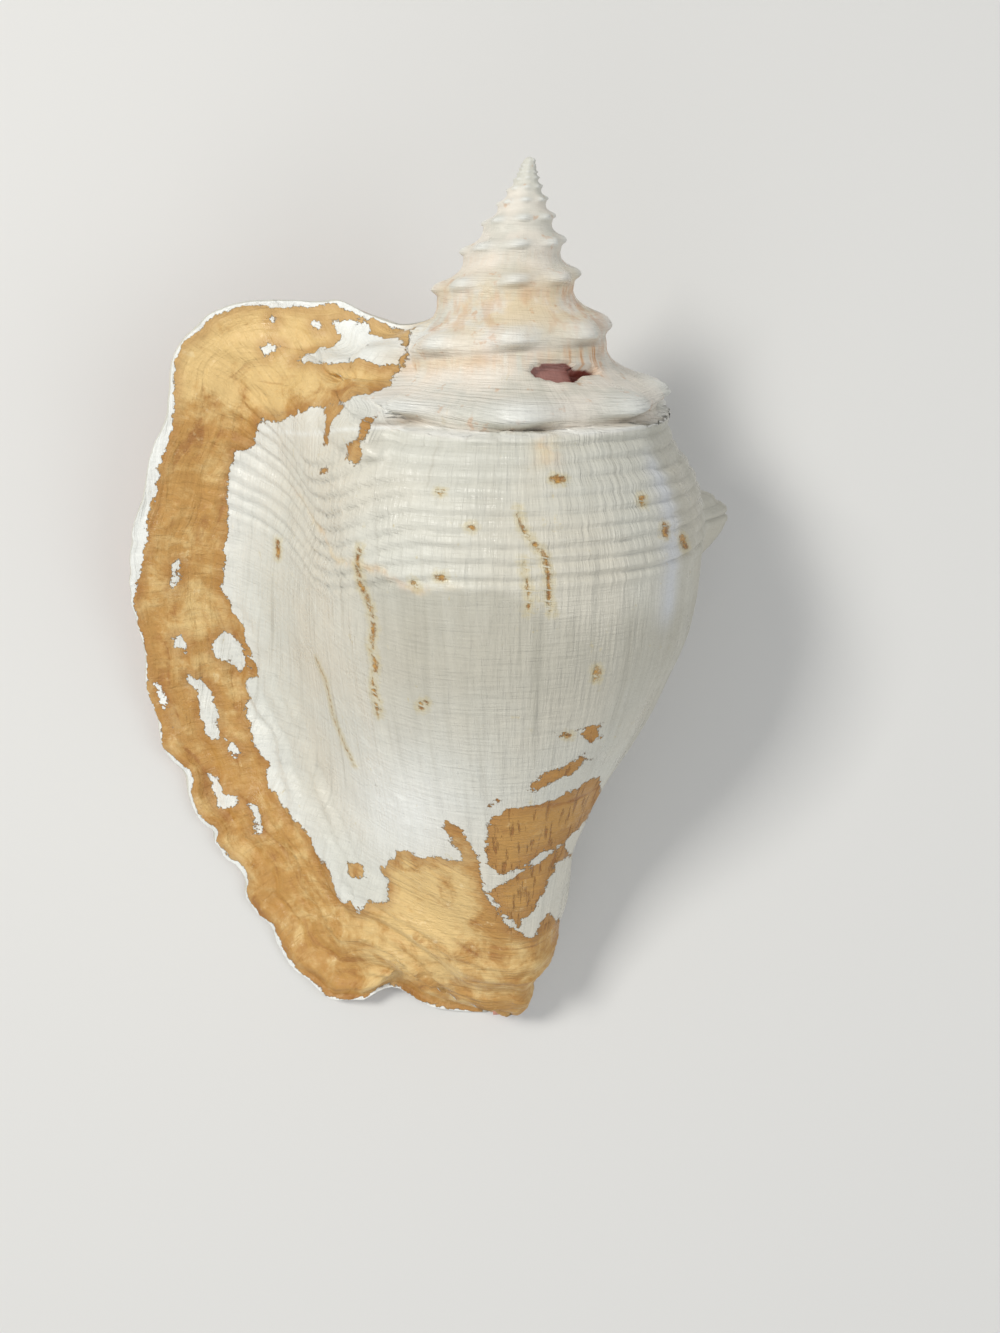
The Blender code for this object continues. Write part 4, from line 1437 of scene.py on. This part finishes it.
    def spire_tints(self, g: Graph, place: Socket, spire: Socket, colour: Socket) -> Socket:
        """The spire's cream, straw and rusty tints over a colour.

        Args:
            g: The material's graph.
            place: The object's coordinates.
            spire: Where the spire is.
            colour: The bare shell's colour.

        Returns:
            The tinted colour.
        """
        knob, ramp = g.attribute("knob"), g.attribute("ramp")
        tinted, right = g.attribute("straw"), g.attribute("right")
        side = g.spread(right, 0.5, 1.0)
        bars = g.grain(g.attribute("coil", "Vector"), (0.16, 0.16, 0.018))
        cream = g.times(spire, g.ease(g.noise(place, 70, 3, 0.6), 0.35, 0.6))
        colour = g.tint(colour, g.times(cream, g.spread(knob, 1.0, 0.1)), 0.75, self.cream)
        straw = g.times(tinted, g.ease(g.noise(place, 75, 4, 0.6), 0.38, 0.56), clamp=True)
        colour = g.tint(colour, straw, 0.7, self.straw_pale)
        flecks = g.ease(g.noise(g.scaled(place, (1, 0.5, 0.7)), 170, 3, 0.6), 0.47, 0.62)
        flecks = g.times(g.times(tinted, flecks), side, clamp=True)
        colour = g.tint(colour, flecks, 0.7, self.rust)
        band = g.times(g.times(ramp, g.ease(bars, 0.4, 0.62)), side, clamp=True)
        colour = g.tint(colour, band, 0.75, self.peach)
        rust = g.times(g.times(ramp, g.ease(bars, 0.54, 0.62)), right, clamp=True)
        spots = g.times(spire, g.ease(g.noise(place, 230, 3, 0.6), 0.61, 0.7))
        rust = g.math("MAXIMUM", rust, g.times(spots, 0.5))
        colour = g.tint(colour, rust, 0.9, self.rust)
        return g.tint(colour, knob, 0.65, self.chalk_and_highlight)

    def stained(self, g: Graph, place: Socket, colour: Socket) -> tuple[Socket, Socket]:
        """The rusty cracks and spots, each in a straw halo, over a colour.

        Args:
            g: The material's graph.
            place: The object's coordinates.
            colour: The colour under them.

        Returns:
            The stained colour, and where the stains are.
        """
        inside = g.attribute("stain")
        torn = g.times(g.minus(g.noise(place, 820, 4, 0.7), 0.5), 2.2)
        halo = g.ease(g.plus(inside, g.times(torn, 1.4)), -1.7, 0.2)
        colour = g.tint(colour, halo, 0.5, self.straw)
        stain = g.ease(g.plus(inside, torn), -0.3, 0.4)
        mottle = g.ease(g.noise(place, 700, 3, 0.6), 0.4, 0.6)
        return g.mix(stain, colour, g.mix(mottle, self.ochre, self.ochre_dark)), stain

    def amber_skin(self, g: Graph, place: Socket, growth: Socket) -> tuple[Socket, Socket]:
        """Colour and bump of the dried skin, streaked along the shell's rim.

        Args:
            g: The material's graph.
            place: The object's coordinates.
            growth: The places across and along the growth lines.

        Returns:
            The colour and the bump's height.
        """
        along_rim = g.join(g.attribute("margin"), g.attribute("beside"))
        lines = g.grain(along_rim, (0.26, 0.035, 1), 4, 0.55, 0.9)
        cross = g.grain(along_rim, (0.16, 0.5, 1), 4, bend=0.6)
        blotch = g.noise(place, 120, 6, 0.68, 0.4)
        cloud = g.noise(place, 40, 4, 0.6, 0.3)
        scuff = g.noise(place, 420, 5, 0.72)
        pale = g.attribute("pale")
        tone = g.ease(g.add_mix(0.45, blotch, lines), 0.3, 0.49)
        colour = g.mix(tone, self.amber_dark, self.amber)
        light = g.plus(g.add_mix(0.7, cloud, blotch), g.spread(pale, -0.19, 0.18))
        colour = g.tint(colour, g.ease(light, 0.41, 0.6), 0.9, self.amber_light)
        darker = g.times(g.ease(lines, 0.4, 0.3), g.spread(pale, 0.45, 0.25))
        colour = g.mix(darker, colour, self.amber_dark)
        # Short scratches down the brownest scraps.
        scratch = g.ease(g.grain(growth, (64, 64, 15)), 0.55, 0.68)
        scratch = g.times(scratch, g.ease(pale, 0.42, 0.0))
        colour = g.mix(scratch, colour, self.amber_dark)
        # Pale flecks over the skin: painted glints on its gloss.
        glints = g.ease(g.noise(place, 210, 5, 0.7), 0.6, 0.72)
        colour = g.tint(colour, glints, 0.45, self.amber_glint)
        colour = g.shade(colour, g.spread(scuff, 0.86, 1.12))
        # The skin is darker just inside its broken edge.
        edge = g.ease(g.attribute("skin"), 4.0, 0.4)
        colour = g.tint(colour, edge, 0.42, self.amber_dark)
        rumple = g.weighted(
            (lines, 1.5), (cross, 0.9), (scratch, -0.5), (blotch, 0.8), (scuff, 0.35),
        )
        return colour, g.plus(rumple, 0.3)

    def pink_lining(self, g: Graph, place: Socket) -> Socket:
        """Colour of the glossy lining, deeper further in."""
        deep = g.ease(g.noise(place, 22, 2), 0.35, 0.7)
        return g.mix(deep, self.lining, self.lining_deep)

    def rosy_hole(self, g: Graph, place: Socket) -> Socket:
        """Colour inside the knocked-in slot, with painted shade at its deep narrow end."""
        rosy = g.mix(g.attribute("deep"), self.hole_light, self.hole_shade)
        return g.shade(rosy, g.spread(g.noise(place, 240, 3, 0.6), 0.85, 1.15))


@dataclass(frozen=True)
class Studio:
    """A pale floor, soft lamps and the camera over the shell."""

    floor_size: float = 8.0
    floor_colour: Colour = paint(214, 213, 210)
    camera_place: tuple[float, float, float] = (0.02099, -0.00921, 0.3959)
    camera_lens: float = 35.1
    sky: float = 0.42
    # Each lamp: place, size, power and colour.
    lamps: tuple[tuple[tuple[float, float, float], float, float, tuple[float, ...]], ...] = (
        ((-0.62, 0.34, 1.02), 0.3, 9.7, (1.0, 0.985, 0.95)),
        ((0.75, -0.15, 0.85), 0.7, 3.0, (0.95, 0.97, 1.0)),
        ((-0.2, -0.9, 0.6), 0.6, 1.6, (1.0, 1.0, 1.0)),
    )

    def build(self) -> None:
        """Make the floor, the lamps, the world and the camera."""
        scene = bpy.context.scene
        self.build_floor()
        for number, (place, size, power, colour) in enumerate(self.lamps):
            lamp = bpy.data.lights.new(f"lamp_{number}", "AREA")
            lamp.size = size
            lamp.energy = power
            lamp.color = colour[:3]
            holder = bpy.data.objects.new(f"lamp_{number}", lamp)
            holder.location = place
            holder.rotation_euler = (-Vector(place)).to_track_quat("-Z", "Y").to_euler()
            scene.collection.objects.link(holder)
        world = bpy.data.worlds.new("studio")
        world.use_nodes = True
        sky = world.node_tree.nodes["Background"]
        sky.inputs["Color"].default_value = (0.96, 0.98, 1.0, 1.0)
        sky.inputs["Strength"].default_value = self.sky
        scene.world = world
        scene.view_settings.view_transform = "Standard"
        camera = bpy.data.cameras.new("camera")
        camera.lens = self.camera_lens
        camera.sensor_width = 36.0
        camera.clip_start = 0.01
        holder = bpy.data.objects.new("camera", camera)
        holder.location = self.camera_place
        scene.collection.objects.link(holder)
        scene.camera = holder

    def build_floor(self) -> None:
        """Make the plain pale floor."""
        bm = bmesh.new()
        bmesh.ops.create_grid(bm, x_segments=1, y_segments=1, size=self.floor_size / 2)
        mesh = bpy.data.meshes.new("floor")
        bm.to_mesh(mesh)
        bm.free()
        g = Graph("floor_finish")
        g.surface.inputs["Base Color"].default_value = self.floor_colour
        g.surface.inputs["Roughness"].default_value = 0.9
        mesh.materials.append(g.material)
        floor = bpy.data.objects.new("floor", mesh)
        bpy.context.scene.collection.objects.link(floor)


def main() -> None:
    """Build the shell and its setting."""
    logging.basicConfig(level=logging.INFO, format="%(name)s: %(message)s")
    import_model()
    shell = ConchShell(ShellForm(), ReliefSizes())
    shell.build(ShellFinish())
    Studio().build()


if __name__ == "__main__":
    main()
